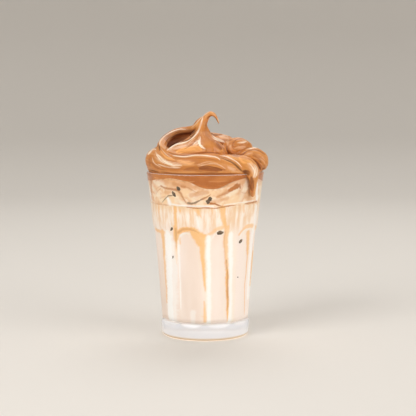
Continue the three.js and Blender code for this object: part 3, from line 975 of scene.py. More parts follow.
def spline(knots, values, t):
    """Catmull-Rom through values at uneven knots, with mirrored end points."""
    knots = [2 * knots[0] - knots[1], *knots, 2 * knots[-1] - knots[-2]]
    values = [2 * values[0] - values[1], *values, 2 * values[-1] - values[-2]]
    i = min(max(int(np.searchsorted(knots, t, "right")) - 1, 1), len(knots) - 3)
    t0, t1, t2, t3 = knots[i - 1 : i + 3]
    p0, p1, p2, p3 = values[i - 1 : i + 3]
    a1 = (t1 - t) / (t1 - t0) * p0 + (t - t0) / (t1 - t0) * p1
    a2 = (t2 - t) / (t2 - t1) * p1 + (t - t1) / (t2 - t1) * p2
    a3 = (t3 - t) / (t3 - t2) * p2 + (t - t2) / (t3 - t2) * p3
    b1 = (t2 - t) / (t2 - t0) * a1 + (t - t0) / (t2 - t0) * a2
    b2 = (t3 - t) / (t3 - t1) * a2 + (t - t1) / (t3 - t1) * a3
    return (t2 - t) / (t2 - t1) * b1 + (t - t1) / (t2 - t1) * b2


def smooth_curve(steps, places, *values):
    """Points of a smooth curve through places, and smooth runs of the values that go with them."""
    places = [np.array(place, float) for place in places]
    gaps = [np.linalg.norm(b - a) ** 0.5 for a, b in zip(places, places[1:])]
    knots = [0.0, *np.cumsum(gaps)]
    fine = np.linspace(0, knots[-1], steps)
    return [np.array([spline(knots, row, t) for t in fine]) for row in (places, *values)]


def along(stations):
    """Points, radii and length of a rope, evenly spaced, with blunt round ends."""
    places, radii = [at(*station[:3]) for station in stations], [station[3] for station in stations]
    curve, size = smooth_curve(CURVE_STEPS, places, radii)
    walked = np.array([0, *np.cumsum(np.linalg.norm(np.diff(curve, axis=0), axis=1))])
    length = walked[-1]
    steps = max(10, round(length / ROPE_STEP))
    wanted = np.linspace(0, length, steps + 1)
    points = np.column_stack([np.interp(wanted, walked, curve[:, axis]) for axis in range(3)])
    size = np.interp(wanted, walked, size)
    to_end = np.minimum(wanted, length - wanted)
    blunt = np.sqrt(1 - np.maximum(0, 1 - to_end / size) ** 2)
    return points, size, np.maximum(size * blunt, LEAST_RADIUS), wanted


def frames_along(points):
    """Three directions at each point of a rope, carried along without twisting."""
    ahead = np.gradient(points, axis=0)
    ahead /= np.linalg.norm(ahead, axis=1)[:, None]
    side = Vector(ahead[0]).orthogonal().normalized()
    frames = []
    for i, direction in enumerate(ahead):
        if i:
            side = Vector(ahead[i - 1]).rotation_difference(Vector(direction)) @ side
        forward = Vector(direction)
        side = (side - forward * side.dot(forward)).normalized()
        frames.append((side, forward.cross(side), forward))
    return frames


ROPES = {}
for name, stations in {**LOW_FOLDS, **HIGH_FOLDS}.items():
    points, size, drawn, walked = along(stations)
    ROPES[name] = {"points": points, "size": size, "drawn": drawn, "walked": walked}
    ROPES[name]["frames"] = frames_along(points)
print({name: f"{rope['walked'][-1]:.0f} mm" for name, rope in ROPES.items()})

# %% Extrude a circle along each rope
ROPE_SIDES, MOUND_SIDES = 24, 96
MOUND_FOOT, MOUND_CLEAR, MOUND_EDGE = 121, 0.6, 122.5
VOXEL = 0.58


def add_rope(bm, rope):
    """Adds a closed tube along a rope, as thick at each station as the rope is."""

    def place(i):
        side, up, forward = rope["frames"][i]
        turn = Matrix((side, up, forward)).transposed().to_4x4()
        size = Matrix.Diagonal((*[rope["drawn"][i]] * 2, 1, 1))
        return Matrix.Translation(Vector(rope["points"][i])) @ turn @ size

    ring = bmesh.ops.create_circle(bm, cap_ends=True, segments=ROPE_SIDES, radius=1, matrix=place(0))
    edges = list({edge for vertex in ring["verts"] for edge in vertex.link_edges})
    for i in range(1, len(rope["points"])):
        grown = bmesh.ops.extrude_edge_only(bm, edges=edges)["geom"]
        verts = [item for item in grown if isinstance(item, bmesh.types.BMVert)]
        edges = [item for item in grown if isinstance(item, bmesh.types.BMEdge)]
        bmesh.ops.transform(bm, matrix=place(i) @ place(i - 1).inverted(), verts=verts)
    bmesh.ops.contextual_create(bm, geom=edges)


def add_mound(bm):
    """Adds the mass that fills the glass's mouth and lies under all the folds."""
    foot = (inner_radius(MOUND_FOOT) - MOUND_CLEAR, COFFEE_LEVEL)
    edge = (inner_radius(MOUND_EDGE), MOUND_EDGE)
    turned = spin_profile([(0, COFFEE_LEVEL), foot, edge, *MOUND], MOUND_SIDES)
    mesh = bpy.data.meshes.new("mound")
    bmesh.ops.remove_doubles(turned, verts=turned.verts, dist=1e-3)
    turned.to_mesh(mesh)
    turned.free()
    bm.from_mesh(mesh)
    bpy.data.meshes.remove(mesh)


def object_in_mm(bm, name):
    """A passing object, still in millimetres, for a modifier to work on."""
    bmesh.ops.recalc_face_normals(bm, faces=bm.faces)
    mesh = bpy.data.meshes.new(name)
    bm.to_mesh(mesh)
    bm.free()
    made = bpy.data.objects.new(name, mesh)
    bpy.context.scene.collection.objects.link(made)
    return made


def applied(made, name, kind, **settings):
    """The object's mesh once a modifier has run on it. The object itself is removed."""
    modifier = made.modifiers.new(name, kind)
    for key, value in settings.items():
        setattr(modifier, key, value)
    evaluated = made.evaluated_get(bpy.context.evaluated_depsgraph_get())
    mesh = bpy.data.meshes.new_from_object(evaluated)
    bpy.data.objects.remove(made)
    return mesh


low = bmesh.new()
for name in LOW_FOLDS:
    add_rope(low, ROPES[name])
add_mound(low)
low_mesh = applied(object_in_mm(low, "low folds"), "melt", "REMESH", mode="VOXEL", voxel_size=VOXEL)
print("low folds melted:", len(low_mesh.vertices), "vertices")

# %% [markdown]
# The ribbon was lifted clear of the heap, and under it lies a deep hollow. The melted low folds are
# scooped with a stretched ball, as a spoon would do it. Then the high folds are laid over the
# hollow's edge and melted in too, so that the ribbon spans it and its rim stays soft.

# %% Scoop the hollow and lay the high folds over it
scoop = bmesh.new()
turn = Matrix.Translation(at(*HOLLOW_PLACE)) @ Matrix.Rotation(-math.radians(HOLLOW_TILT), 4, "Y")
ball = turn @ Matrix.Diagonal((*HOLLOW_SIZE, 1))
bmesh.ops.create_icosphere(scoop, subdivisions=5, radius=1, matrix=ball)
scoop_object = object_in_mm(scoop, "scoop")
low_object = bpy.data.objects.new("low folds", low_mesh)
bpy.context.scene.collection.objects.link(low_object)
cut = {"operation": "DIFFERENCE", "object": scoop_object, "solver": "MANIFOLD"}
scooped = applied(low_object, "scoop", "BOOLEAN", **cut)
bpy.data.objects.remove(scoop_object)
heap_bm = bmesh.new()
heap_bm.from_mesh(scooped)
for name in HIGH_FOLDS:
    add_rope(heap_bm, ROPES[name])
heap_mesh = applied(object_in_mm(heap_bm, "folds"), "melt", "REMESH", mode="VOXEL", voxel_size=VOXEL)
print("all folds melted:", len(heap_mesh.vertices), "vertices")

# %% [markdown]
# ### Crests, grooves and painted light on the folds
# The melted skin is smooth and even, but a spoon leaves sharp crests that catch the light, deep
# grooves between folds that lie in shade, and paler swirls. They could be modelled as more ropes,
# but they are too fine for that. So they are strokes again: each raises or presses the skin a
# little, and paints light or shade into its colour. Light and glow strokes are painted highlight and
# glow, pink ones painted soft light on the foam's paler tone, and shade and deep ones painted shade.

# %% Strokes on the heap
# Each is a kind, how strong, its half width at both ends, how far it stands proud, and its points:
# millimetres to the right and height, on a plane through the middle line, as the camera sees it.
HEAP_STROKES = [
    # The ribbon
    ("glow", 0.35, 1.2, 1, 0, [
        (-33.5, 140.5), (-33.5, 143.5), (-31.5, 146.5), (-27.5, 150), (-19, 153.5),
    ]),
    ("light", 0.9, 0.45, 0.3, 0.25, [(-14, 154), (-19.5, 154), (-27.5, 151), (-33.5, 145.5), (-34, 141)]),
    ("light", 0.55, 0.3, 0.25, 0.1, [(-24.5, 150.5), (-29.5, 146), (-31.5, 142.5)]),
    ("shade", 0.45, 0.4, 0.3, -0.2, [(-16.5, 153), (-23.5, 151)]),
    ("shade", 0.6, 0.35, 0.3, -0.15, [(-26.5, 150.5), (-31, 146.5), (-33, 143.5)]),
    ("glow", 0.5, 1, 1.1, 0, [(-11.5, 154), (-22.5, 151), (-25.5, 148.5), (-28.5, 142.5)]),
    ("pink", 0.6, 0.5, 0.7, 0, [(-19, 151), (-25, 148.5), (-29, 142.5), (-30, 139)]),
    ("glow", 0.8, 1.3, 1.1, 0, [(-11.5, 154), (-6.5, 157.5), (-5, 159.5)]),
    ("light", 0.6, 0.3, 0.3, 0.1, [(-10.5, 155), (-3.5, 161.5)]),
    # The hollow
    ("shade", 0.42, 3, 2.2, 0, [(-26, 144), (-11.5, 149.5), (-8.5, 151.5)]),
    ("deep", 0.65, 0.6, 0.8, 0, [(-27, 146.5), (-24.5, 148.5), (-20, 150.5), (-11.5, 151.5), (-7, 154)]),
    ("deep", 0.8, 0.7, 0.5, 0, [(-27.5, 145.5), (-29.5, 138.5)]),
    ("deep", 0.7, 0.5, 0.7, 0, [(-28.5, 139.5), (-23.5, 143), (-12, 146.5), (-9.5, 148.5), (-6.5, 154)]),
    ("deep", 0.7, 1.5, 1.2, 0, [(-11.5, 148.5), (-7.5, 153)]),
    ("glow", 0.4, 1.2, 0.7, 0, [(-24.5, 145), (-16.5, 148)]),
    ("deep", 0.35, 0.5, 0.4, 0, [(-24.5, 147), (-20, 147.5), (-16.5, 147), (-12, 148.5)]),
    # The lip and the left of the cone
    ("light", 1, 0.45, 0.6, 0.25, [
        (-29, 138), (-22.5, 142.5), (-15, 144.5), (-9.5, 147.5), (-5.5, 152.5), (-1.5, 163.5),
    ]),
    ("light", 0.5, 1.1, 0.6, 0, [(-7, 148), (-14, 142)]),
    ("pink", 0.8, 1.9, 1.2, 0, [(-26.5, 138.5), (-23.5, 140.5), (-13.5, 142.5)]),
    ("glow", 0.9, 1.8, 2.4, 0, [(-22, 137), (-9.5, 140), (-5.5, 139.5), (-2, 138.5)]),
    ("glow", 0.8, 1.4, 1.1, 0, [(-14.5, 138.5), (-5.5, 143.5)]),
    ("light", 1, 1.4, 0.6, 0.1, [(-4, 149), (-4.5, 144.5), (-3.5, 142), (1, 139)]),
    ("light", 0.85, 1.8, 0.9, 0, [(-4.5, 146), (-9.5, 142)]),
    ("shade", 0.75, 0.3, 0.3, -0.3, [(-3.5, 152), (-8.5, 144.5), (-16, 139)]),
    ("glow", 0.4, 0.5, 0.6, 0, [(0.5, 165), (-3, 152.5), (-1.5, 148.5), (0, 145.5)]),
    # The curled peak
    ("light", 0.8, 0.28, 0.28, 0.1, [(-9.5, 156), (-1, 164.5), (3.5, 167.5)]),
    ("shade", 0.4, 1, 2.2, 0, [(1.5, 161), (0, 154.5), (1, 151), (4.5, 146.5), (12, 140)]),
    ("deep", 0.85, 0.4, 0.35, -0.05, [(1.5, 161.5), (2, 163), (4.5, 164), (7, 163), (9.5, 159.5)]),
    ("light", 0.7, 0.3, 0.3, 0.05, [(9, 163), (11, 158)]),
    ("deep", 0.6, 0.25, 0.3, 0, [(1.5, 158), (3.5, 152.5)]),
    # The crest of the front fold
    ("light", 0.6, 0.3, 0.3, 0.2, [(-33.5, 140.5), (-29.5, 135.5), (-24, 132)]),
    ("light", 0.95, 0.35, 0.4, 0.5, [
        (-25, 134.5), (-15, 133.5), (-8, 134.5), (-1, 134.5), (8.5, 133), (11.5, 131),
    ]),
    ("shade", 0.8, 0.45, 0.4, -0.5, [(-28, 137), (-19.5, 135), (4.5, 137), (12, 136)]),
    ("glow", 0.8, 0.7, 0.9, 0, [(-34, 139), (-31.5, 135.5), (-28.5, 133), (-22, 131)]),
    ("glow", 0.75, 1.3, 1.5, 0, [(-22, 131), (-11, 129), (-7.5, 129.5)]),
    ("shade", 0.4, 0.9, 0.7, 0, [(-7, 132.5), (1, 132.5), (9.5, 130.5)]),
    # Sweeps on the left
    ("light", 0.7, 0.3, 0.35, 0.2, [(-40, 134), (-38, 129), (-32.5, 125.5)]),
    ("pink", 0.7, 2.4, 1.2, 0, [(-38, 136.5), (-35.5, 133), (-32, 130.5), (-23.5, 127), (-17, 126.5)]),
    ("light", 0.95, 1.6, 1.2, 0.1, [(-36.5, 135.5), (-31, 130.5), (-23.5, 128), (-17, 127.5)]),
    ("light", 0.85, 0.35, 0.4, 0.25, [(-36, 128.5), (-28.5, 126), (-21.5, 125.5), (-18, 125.5)]),
    ("light", 0.9, 0.9, 0.5, 0, [(-43, 135), (-39.5, 139), (-37.5, 139.5), (-36.5, 138.5)]),
    ("light", 0.7, 0.4, 0.3, 0.1, [(-37.5, 137.5), (-34.5, 134)]),
    ("shade", 0.6, 0.8, 0.5, -0.15, [(-41.5, 131.5), (-37.5, 126), (-34, 124.5), (-28, 123.5)]),
    ("shade", 0.5, 0.8, 1.2, 0, [(-42, 133), (-41.5, 126.5)]),
    ("deep", 0.9, 0.9, 0.4, -0.5, [(-37, 140.5), (-35, 142.5), (-34, 138)]),
    ("deep", 0.9, 0.5, 0.2, -0.1, [(-45, 125), (-40.5, 123.5), (-34, 122)]),
    # Under the front fold, and its dimple
    ("shade", 0.75, 0.5, 0.5, 0, [(-33.5, 122.5), (-20.5, 121), (23, 121)]),
    ("shade", 0.55, 1.6, 2, 0, [(-16.5, 123.5), (-11, 124.5), (10, 122)]),
    ("light", 0.45, 0.5, 0.45, 0.15, [(-6, 126.5), (4.5, 128.5), (10.5, 127.5), (15.5, 124.5)]),
    ("pink", 0.7, 0.9, 0.6, 0.1, [(-6.5, 127.5), (1, 129.5), (5, 129.5), (10, 128.5)]),
    ("shade", 1, 0.35, 0.4, -0.4, [(-6, 125), (-0.5, 126.5), (2.5, 126.5), (15.5, 123.5)]),
    ("shade", 1, 1.3, 1.1, -0.9, [(-5, 124.5), (3, 124.5), (13, 123.5)]),
    ("pink", 0.6, 1.5, 1.6, 0, [(16.5, 126.5), (23, 123.5)]),
    # The groove beside the run
    ("deep", 0.75, 0.35, 0.9, -0.35, [(7.5, 135), (19.5, 130), (25, 125.5), (28, 122.5)]),
    ("light", 0.9, 0.4, 0.45, 0.35, [
        (10.5, 134.5), (16.5, 133.5), (22.5, 130.5), (25, 128.5), (27.5, 125.5),
    ]),
    ("glow", 0.6, 1, 1, 0, [(15.5, 135), (26, 130.5)]),
    ("shade", 1, 1.6, 1.6, -0.2, [(28, 122.5), (31.5, 122), (33.5, 120)]),
    ("deep", 0.5, 1.2, 1.6, -0.1, [(27, 123), (30.5, 122), (33, 119.5)]),
    # The run
    ("glow", 0.85, 1.6, 1.7, 0, [(25, 133.5), (28, 130.5), (34, 129), (36, 127.5)]),
    ("pink", 0.7, 2.2, 2.6, 0, [(31.5, 129), (35, 126.5), (37, 123), (38, 119.5)]),
    ("light", 0.8, 1.7, 2.4, 0, [(33, 129), (35.5, 127.5), (37.5, 124.5), (37.5, 121.5), (36.5, 117.5)]),
    ("deep", 0.85, 0.3, 0.4, -0.1, [(30.5, 119), (32, 117.5), (34, 108.5)]),
    ("shade", 0.9, 1.8, 1.6, 0, [(34.5, 119), (35.5, 107)]),
    ("shade", 0.6, 1.5, 1.1, 0, [(35.5, 108), (35, 103)]),
    ("light", 0.5, 0.5, 0.4, 0, [(41, 123.5), (41, 121), (40, 118)]),
    # The shelf
    ("deep", 0.8, 0.35, 0.4, -0.1, [(2.5, 154.5), (5, 151), (7.5, 150), (13, 150.5)]),
    ("light", 1, 1, 0.8, 0.1, [(4.5, 150), (6.5, 148), (14.5, 144.5)]),
    ("light", 0.7, 0.6, 0.5, 0, [(8, 148.5), (13, 146), (15, 144)]),
    ("pink", 0.7, 1.4, 1.2, 0, [(10.5, 148.5), (14, 147.5), (16.5, 145.5), (16.5, 142)]),
    ("pink", 0.8, 1.2, 0.9, 0, [(10, 148.5), (15, 149.5), (17.5, 148)]),
    ("shade", 0.6, 0.8, 0.8, 0, [(12.5, 147), (16.5, 146), (20.5, 146.5)]),
    ("shade", 0.85, 0.4, 0.45, -0.4, [(6.5, 146.5), (13.5, 140.5), (14.5, 137)]),
    ("shade", 0.9, 1.5, 1.7, 0, [(8, 145), (12.5, 139)]),
    ("shade", 0.55, 2, 2.4, 0, [(6.5, 146), (12, 139.5)]),
    # The dollop
    ("light", 0.6, 0.3, 0.3, 0.1, [(23.5, 148), (29, 148), (30.5, 147)]),
    ("shade", 0.8, 0.45, 0.4, -0.2, [(21, 143.5), (22, 145.5), (24.5, 147), (27.5, 147), (30, 146)]),
    ("shade", 0.7, 0.3, 0.3, -0.25, [(21, 145.5), (20.5, 143.5), (21, 139.5)]),
    ("light", 0.75, 0.8, 0.7, 0.1, [(23.5, 144), (31, 145)]),
    ("pink", 0.6, 1.6, 1.3, 0, [(22, 140), (30.5, 141)]),
    ("pink", 0.55, 1.8, 1.6, 0, [(18.5, 142.5), (20, 139), (22.5, 137), (26, 138)]),
    ("pink", 0.5, 1.3, 1.2, 0, [(22, 146.5), (25.5, 147.5), (29, 146.5), (32, 143.5)]),
    ("shade", 0.7, 0.35, 0.3, -0.15, [(25, 142), (28.5, 143)]),
    ("glow", 0.7, 0.7, 0.6, 0, [(18.5, 142), (19, 140), (21, 138.5), (23.5, 137.5)]),
    ("shade", 0.9, 0.5, 0.8, -0.5, [(16, 142.5), (17, 137.5), (21, 135), (27.5, 135.5), (31, 138)]),
    # The right fold
    ("light", 1, 0.45, 0.65, 0.3, [(30, 139), (36, 140.5), (39.5, 140.5), (42.5, 139.5), (46, 136)]),
    ("shade", 0.7, 0.7, 0.7, -0.25, [(30, 137.5), (35, 139), (38, 139), (41, 138), (45, 135)]),
    ("shade", 0.4, 2, 1.6, 0, [(35.5, 137), (42.5, 131)]),
    ("pink", 0.5, 0.9, 0.7, 0, [(31, 135.5), (36.5, 137)]),
    ("shade", 0.6, 1.2, 1, 0, [(35, 135), (38, 133.5), (41, 131), (42, 128.5)]),
    ("shade", 1, 0.5, 0.8, -0.4, [(34, 133), (38.5, 129.5), (42, 123.5)]),
    ("deep", 0.5, 0.3, 0.5, -0.2, [(39, 129), (42, 123.5)]),
    ("deep", 0.8, 0.5, 0.45, -0.1, [(42.5, 124), (45, 125.5)]),
    ("light", 0.5, 0.25, 0.25, 0.15, [(40, 133), (44, 130), (44.5, 127.5)]),
    ("light", 0.45, 0.25, 0.25, 0.1, [(41, 129.5), (43.5, 125.5)]),
    ("light", 0.45, 0.25, 0.25, 0.1, [(42, 134), (45.5, 130.5)]),
]
STROKE_STEP = 1.2


def smooth_stroke(line):
    """A stroke's points on a smooth curve, about a step apart."""
    length = sum(math.dist(a, b) for a, b in zip(line, line[1:]))
    return smooth_curve(max(3, round(length / STROKE_STEP)), line)[0]


HEAP_STROKES = [(*stroke, smooth_stroke(line)) for *stroke, line in HEAP_STROKES]
print(len(HEAP_STROKES), "strokes on the heap")

# %% [markdown]
# A remesh leaves faint steps, so the skin is smoothed first. Below the rim the heap has to stay
# inside the glass, behind the band of coffee on the wall, so points that melted too far out are
# pulled in. Only the run is left alone, because it hangs outside.

# %% Trim and smooth the skin
RIM_CLEAR, SMOOTH_ROUNDS, BEHIND_BAND = 122.9, 8, -0.4
RUN_FROM, RUN_TO, RUN_OUT = 38, 66, 40


def soften(bm, rounds=1):
    """Moves every point half way to the middle of its neighbours."""
    for _ in range(rounds):
        bmesh.ops.smooth_vert(
            bm, verts=bm.verts, factor=0.5, use_axis_x=True, use_axis_y=True, use_axis_z=True
        )


def is_run(point):
    degrees = math.degrees(math.atan2(point.x, -point.y))
    return RUN_FROM < degrees < RUN_TO and math.hypot(point.x, point.y) > RUN_OUT


heap_bm = bmesh.new()
heap_bm.from_mesh(heap_mesh)
soften(heap_bm, SMOOTH_ROUNDS)
for vertex in heap_bm.verts:
    out = math.hypot(*vertex.co.xy)
    if vertex.co.z < RIM_CLEAR and not is_run(vertex.co):
        clear = BEHIND_BAND if vertex.co.z < COFFEE_TOP else INTO_WALL
        limit = inner_radius(min(vertex.co.z, GLASS_HEIGHT)) + clear
        if out > limit:
            set_radius(vertex, out, limit)
print("trimmed and smooth:", len(heap_bm.verts), "points")

# %% [markdown]
# The strokes are given as they look from the front, so each has to fall on the skin that shows
# there. A ray from each point back to the camera tells whether anything stands before it. Fine
# strokes are thinner than a face of the skin, so the faces along them are split first, and nowhere
# else, which keeps the piece light.

# %% Find what the camera sees, and refine the skin along fine strokes
CLEAR_OF_SKIN, FINE_STROKE, SPLIT_BESIDE, SPLIT_REACH = 0.3, 0.6, 0.9, 2


def seen_from_camera(bm):
    """For each point: where it falls on the front plane, in millimetres, whether the camera sees it,
    and how squarely it faces the camera, from 0 to 1."""
    tree = BVHTree.FromBMesh(bm)
    eye = CAMERA_PLACE / MM
    falls, seen, facing = [], [], []
    bm.normal_update()
    for vertex in bm.verts:
        ray = vertex.co - eye
        shadow = eye + ray * (-eye.y / ray.y)
        falls.append((shadow.x, shadow.z))
        facing.append(max(0, -vertex.normal.dot(ray.normalized())))
        outside = vertex.co + vertex.normal * CLEAR_OF_SKIN
        seen.append(facing[-1] > 0 and tree.ray_cast(outside, -ray.normalized())[0] is None)
    return np.array(falls), np.array(seen), np.array(facing)


def near_stroke(falls, line, reach):
    """Which places lie in the box round a stroke, widened by a reach."""
    low, high = np.min(line, axis=0) - reach, np.max(line, axis=0) + reach
    return np.all((falls > low) & (falls < high), axis=1)


falls, seen, facing = seen_from_camera(heap_bm)
wanted = np.zeros(len(falls), bool)
for kind, _, start, end, _, line in HEAP_STROKES:
    if max(start, end) <= FINE_STROKE and kind != "glow":
        near = np.flatnonzero(near_stroke(falls, line, SPLIT_REACH) & seen)
        wanted[near] |= np.abs(along_line(falls[near], line)[0]) < max(start, end) + SPLIT_BESIDE
heap_bm.verts.index_update()
fine_edges = [edge for edge in heap_bm.edges if all(wanted[vertex.index] for vertex in edge.verts)]
bmesh.ops.subdivide_edges(heap_bm, edges=fine_edges, cuts=1, use_grid_fill=True)
soften(heap_bm)
falls, seen, facing = seen_from_camera(heap_bm)
heap_points = np.array([vertex.co for vertex in heap_bm.verts])
print("refined:", len(heap_points), "points, of which the camera sees", int(seen.sum()))

# %% [markdown]
# Real folds also show fine lines all along the way the spoon went. So each point looks for the rope
# it lies on, and where on it. Noise drawn out along that rope lifts and lowers the skin by a
# fraction of a millimetre, and fades where two ropes meet, so that their lines don't cross.

# %% Streaks along the folds
ROPE_REACH, MEETING_WIDTH, DRAWN_OUT, RIDGE = 3.0, 1.2, 0.09, 0.4
WIDE_CELL, FINE_CELL, LINE_CELL = 2.6, 1.1, 1.7
WIDE_SHARE, FINE_SHARE = 0.7, 0.45


def nearest_on_rope(points, rope):
    """Signed distance to a rope's skin, the place along it and the turn round it."""
    away = np.full(len(points), 1e9)
    index = np.zeros(len(points), int)
    for i, centre in enumerate(rope["points"]):
        gap = np.linalg.norm(points - centre, axis=1) - rope["drawn"][i]
        closer = gap < away
        away[closer], index[closer] = gap[closer], i
    centres = rope["points"][index]
    frames = np.array([[list(axis) for axis in frame] for frame in rope["frames"]])[index]
    reach = points - centres
    side = np.einsum("ij,ij->i", reach, frames[:, 0])
    up = np.einsum("ij,ij->i", reach, frames[:, 1])
    return away, rope["walked"][index], np.arctan2(up, side), rope["size"][index]


def flow_lines(points):
    """Two noises from -1 to 1 at each point, drawn out along the rope that it lies on: fine streaks
    and long lines."""
    best = np.full(len(points), ROPE_REACH)
    second = np.full(len(points), ROPE_REACH)
    streak, line = np.zeros(len(points)), np.zeros(len(points))
    for number, rope in enumerate(ROPES.values()):
        away, walked, turn, size = nearest_on_rope(points, rope)
        away = np.abs(away)
        across = np.column_stack((np.cos(turn) * size, np.sin(turn) * size, walked * DRAWN_OUT))
        closer = away < best
        second = np.where(closer, best, np.minimum(second, away))
        picked = across[closer]
        wide = noise_at(picked, WIDE_CELL, number + 3)
        fine = noise_at(picked, FINE_CELL, number + 40)
        streak[closer] = wide * WIDE_SHARE + fine * FINE_SHARE
        line[closer] = noise_at(picked * (1, 1, 0.6), LINE_CELL, number + 80)
        best[closer] = away[closer]
    clear = np.clip((second - best) / MEETING_WIDTH, 0, 1)
    return streak * clear, line * clear


streaks, long_lines = flow_lines(heap_points)
heap_bm.normal_update()
for vertex, value in zip(heap_bm.verts, streaks):
    vertex.co += vertex.normal * float(value) * RIDGE
print("streaks from", round(float(streaks.min()), 2), "to", round(float(streaks.max()), 2))

# %% [markdown]
# Now the strokes go on. Wide ones are broken up by noise drawn out along them, like the hairs of a
# brush, because beaten foam never shines evenly. Dark ones fade where the skin turns away, or they
# would smear round an edge. The far side has no drawn strokes, so its long lines come from the flow
# of the folds instead.

# %% Paint the strokes that the camera sees
BRISTLES = {"glow": 0.5, "pink": 0.6, "shade": 0.35, "deep": 0.15, "light": 0.75}
HAIR_WIDTH, HAIR_LENGTH, HAIR_CONTRAST, HAIR_DARKER, WHOLE_WIDTH = 0.55, 7, 2.2, 0.35, 1.1
STROKE_SOFTNESS, LONGEST_TAPER, SQUARE_ENOUGH = 2.1, 4, 0.35
WAVER, WAVER_CELL = 0.2, 2.2
# The far side's lines: kind, which way the noise goes, where it starts, how far it stands proud
FAR_LINES = (("light", 1, 0.36, 0.25), ("glow", 1, 0.16, 0), ("shade", -1, 0.22, -0.3))
FAR_FADE, FAR_STRENGTH = 0.2, 0.6


def keep_on_points(bm, name, values):
    """Keeps a value on each point of a bmesh, which its mesh then holds as an attribute."""
    layer = bm.verts.layers.float.new(name)
    for vertex, value in zip(bm.verts, values):
        vertex[layer] = float(value)


rough = noise_at(heap_points, WAVER_CELL, 7) * WAVER
masks = {kind: np.zeros(len(heap_points)) for kind in BRISTLES}
lift = np.zeros(len(heap_points))
for seed, (kind, strength, start, end, proud, line) in enumerate(HEAP_STROKES):
    near = near_stroke(falls, line, max(start, end) * 1.6 + 1) & seen
    measured = along_line(falls[near], line)
    taper = min(LONGEST_TAPER, measured[2] / 3)
    cover = stroke_cover(measured, start, end, rough[near], taper, taper, STROKE_SOFTNESS)
    if kind in ("deep", "shade"):
        cover *= np.clip(facing[near] / SQUARE_ENOUGH, 0, 1)
    lift[near] += cover * proud
    own = np.full(near.sum(), seed * 3.7)
    hairs = np.column_stack((measured[0] / HAIR_WIDTH, measured[1] / HAIR_LENGTH, own))
    bristle = BRISTLES[kind] * min(1, max(start, end) / WHOLE_WIDTH)
    hair = noise_at(hairs, 1, seed) * HAIR_CONTRAST - HAIR_DARKER
    cover = cover * np.clip(1 + bristle * hair, 0, 1)
    masks[kind][near] = np.maximum(masks[kind][near], cover * strength)
for kind, sign, low_value, proud in FAR_LINES:
    values = np.clip((sign * long_lines - low_value) / FAR_FADE, 0, 1) * ~seen
    masks[kind] = np.maximum(masks[kind], values * FAR_STRENGTH)
    lift += values * proud
heap_bm.normal_update()
for vertex, value in zip(heap_bm.verts, lift):
    vertex.co += vertex.normal * float(value)
for kind, values in masks.items():
    keep_on_points(heap_bm, kind, values)
print({kind: int((values > 0.3).sum()) for kind, values in masks.items()})

# %% [markdown]
# Creases lie in shade and crests catch the light, so the foam gets painted shade in its creases and
# a painted highlight on its crests. A copy of the skin is smoothed many times, and how far each point
# lies under it tells how deep a crease it is in. A few rounds find narrow creases and many rounds
# find wide ones.

# %% Measure creases
NEAR_ROUNDS, WIDE_ROUNDS, KEEP, MOVE = 12, 90, 0.4, 0.6


def soft_depth(bm, rounds):
    """How far each point lies below the skin smoothed this many times: creases are positive."""
    links = [(edge.verts[0].index, edge.verts[1].index) for edge in bm.edges]
    a, b = np.array(links).T
    start = np.array([vertex.co for vertex in bm.verts])
    normals = np.array([vertex.normal for vertex in bm.verts])
    count = np.bincount(a, minlength=len(start)) + np.bincount(b, minlength=len(start))
    smooth = start.copy()
    for _ in range(rounds):
        total = np.column_stack(
            [
                np.bincount(a, smooth[b, axis], len(start)) + np.bincount(b, smooth[a, axis], len(start))
                for axis in range(3)
            ]
        )
        smooth = KEEP * smooth + MOVE * total / count[:, None]
    return np.einsum("ij,ij->i", smooth - start, normals)


heap_bm.verts.index_update()
heap_bm.normal_update()
depths = {"near": soft_depth(heap_bm, NEAR_ROUNDS), "wide": soft_depth(heap_bm, WIDE_ROUNDS)}
keep_on_points(heap_bm, "streak", streaks * 0.5 + 0.5)
for name, values in depths.items():
    keep_on_points(heap_bm, name, values)
print("crease depth in mm:", {name: round(float(v.max()), 2) for name, v in depths.items()})

# %% [markdown]
# What hangs below the rim inside the glass never shows, because the band of coffee on the wall
# stands before it. It is cut away, loose crumbs go with it, and one flat face closes the heap from
# below, so that the piece is a closed body again.

# %% Cut the underside and close it
CUT_UP, INSIDE_WALL = 121.2, 1.2


def drop_crumbs(bm):
    """Keeps the largest connected piece of a mesh and deletes the loose rest."""
    left, islands = set(bm.verts), []
    while left:
        front = [left.pop()]
        island = set(front)
        while front:
            near = {edge.other_vert(vertex) for vertex in front for edge in vertex.link_edges} & left
            left -= near
            island |= near
            front = list(near)
        islands.append(island)
    islands.sort(key=len)
    crumbs = [vertex for island in islands[:-1] for vertex in island]
    bmesh.ops.delete(bm, geom=crumbs, context="VERTS")
    print("deleted", len(islands) - 1, "loose crumbs with", len(crumbs), "points")


below_cut = [
    vertex
    for vertex in heap_bm.verts
    if vertex.co.z < CUT_UP and math.hypot(*vertex.co.xy) < inner_radius(vertex.co.z) - INSIDE_WALL
]
bmesh.ops.delete(heap_bm, geom=below_cut, context="VERTS")
drop_crumbs(heap_bm)
rims = [edge for edge in heap_bm.edges if edge.is_boundary]
bmesh.ops.holes_fill(heap_bm, edges=rims, sides=0)
heap = finish_mesh(heap_bm, "whipped_heap")
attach(heap, "root")
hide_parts("whipped_coffee")

# %% Masks on the heap
HOLLOW_REACH, HOLLOW_FADE = 1.12, 0.18
values = {}
for name in ("near", "wide"):
    data = heap.data.attributes[name].data
    values[name] = np.empty(len(data))
    data.foreach_get("value", values[name])


def by_depth(sign, near_full, near_share, wide_full, wide_share):
    """How deep a crease is, from 0 to 1, or with sign -1 how high a crest, narrow and wide."""
    near = np.clip(sign * values["near"] / near_full, 0, 1) * near_share
    return near + np.clip(sign * values["wide"] / wide_full, 0, 1) * wide_share


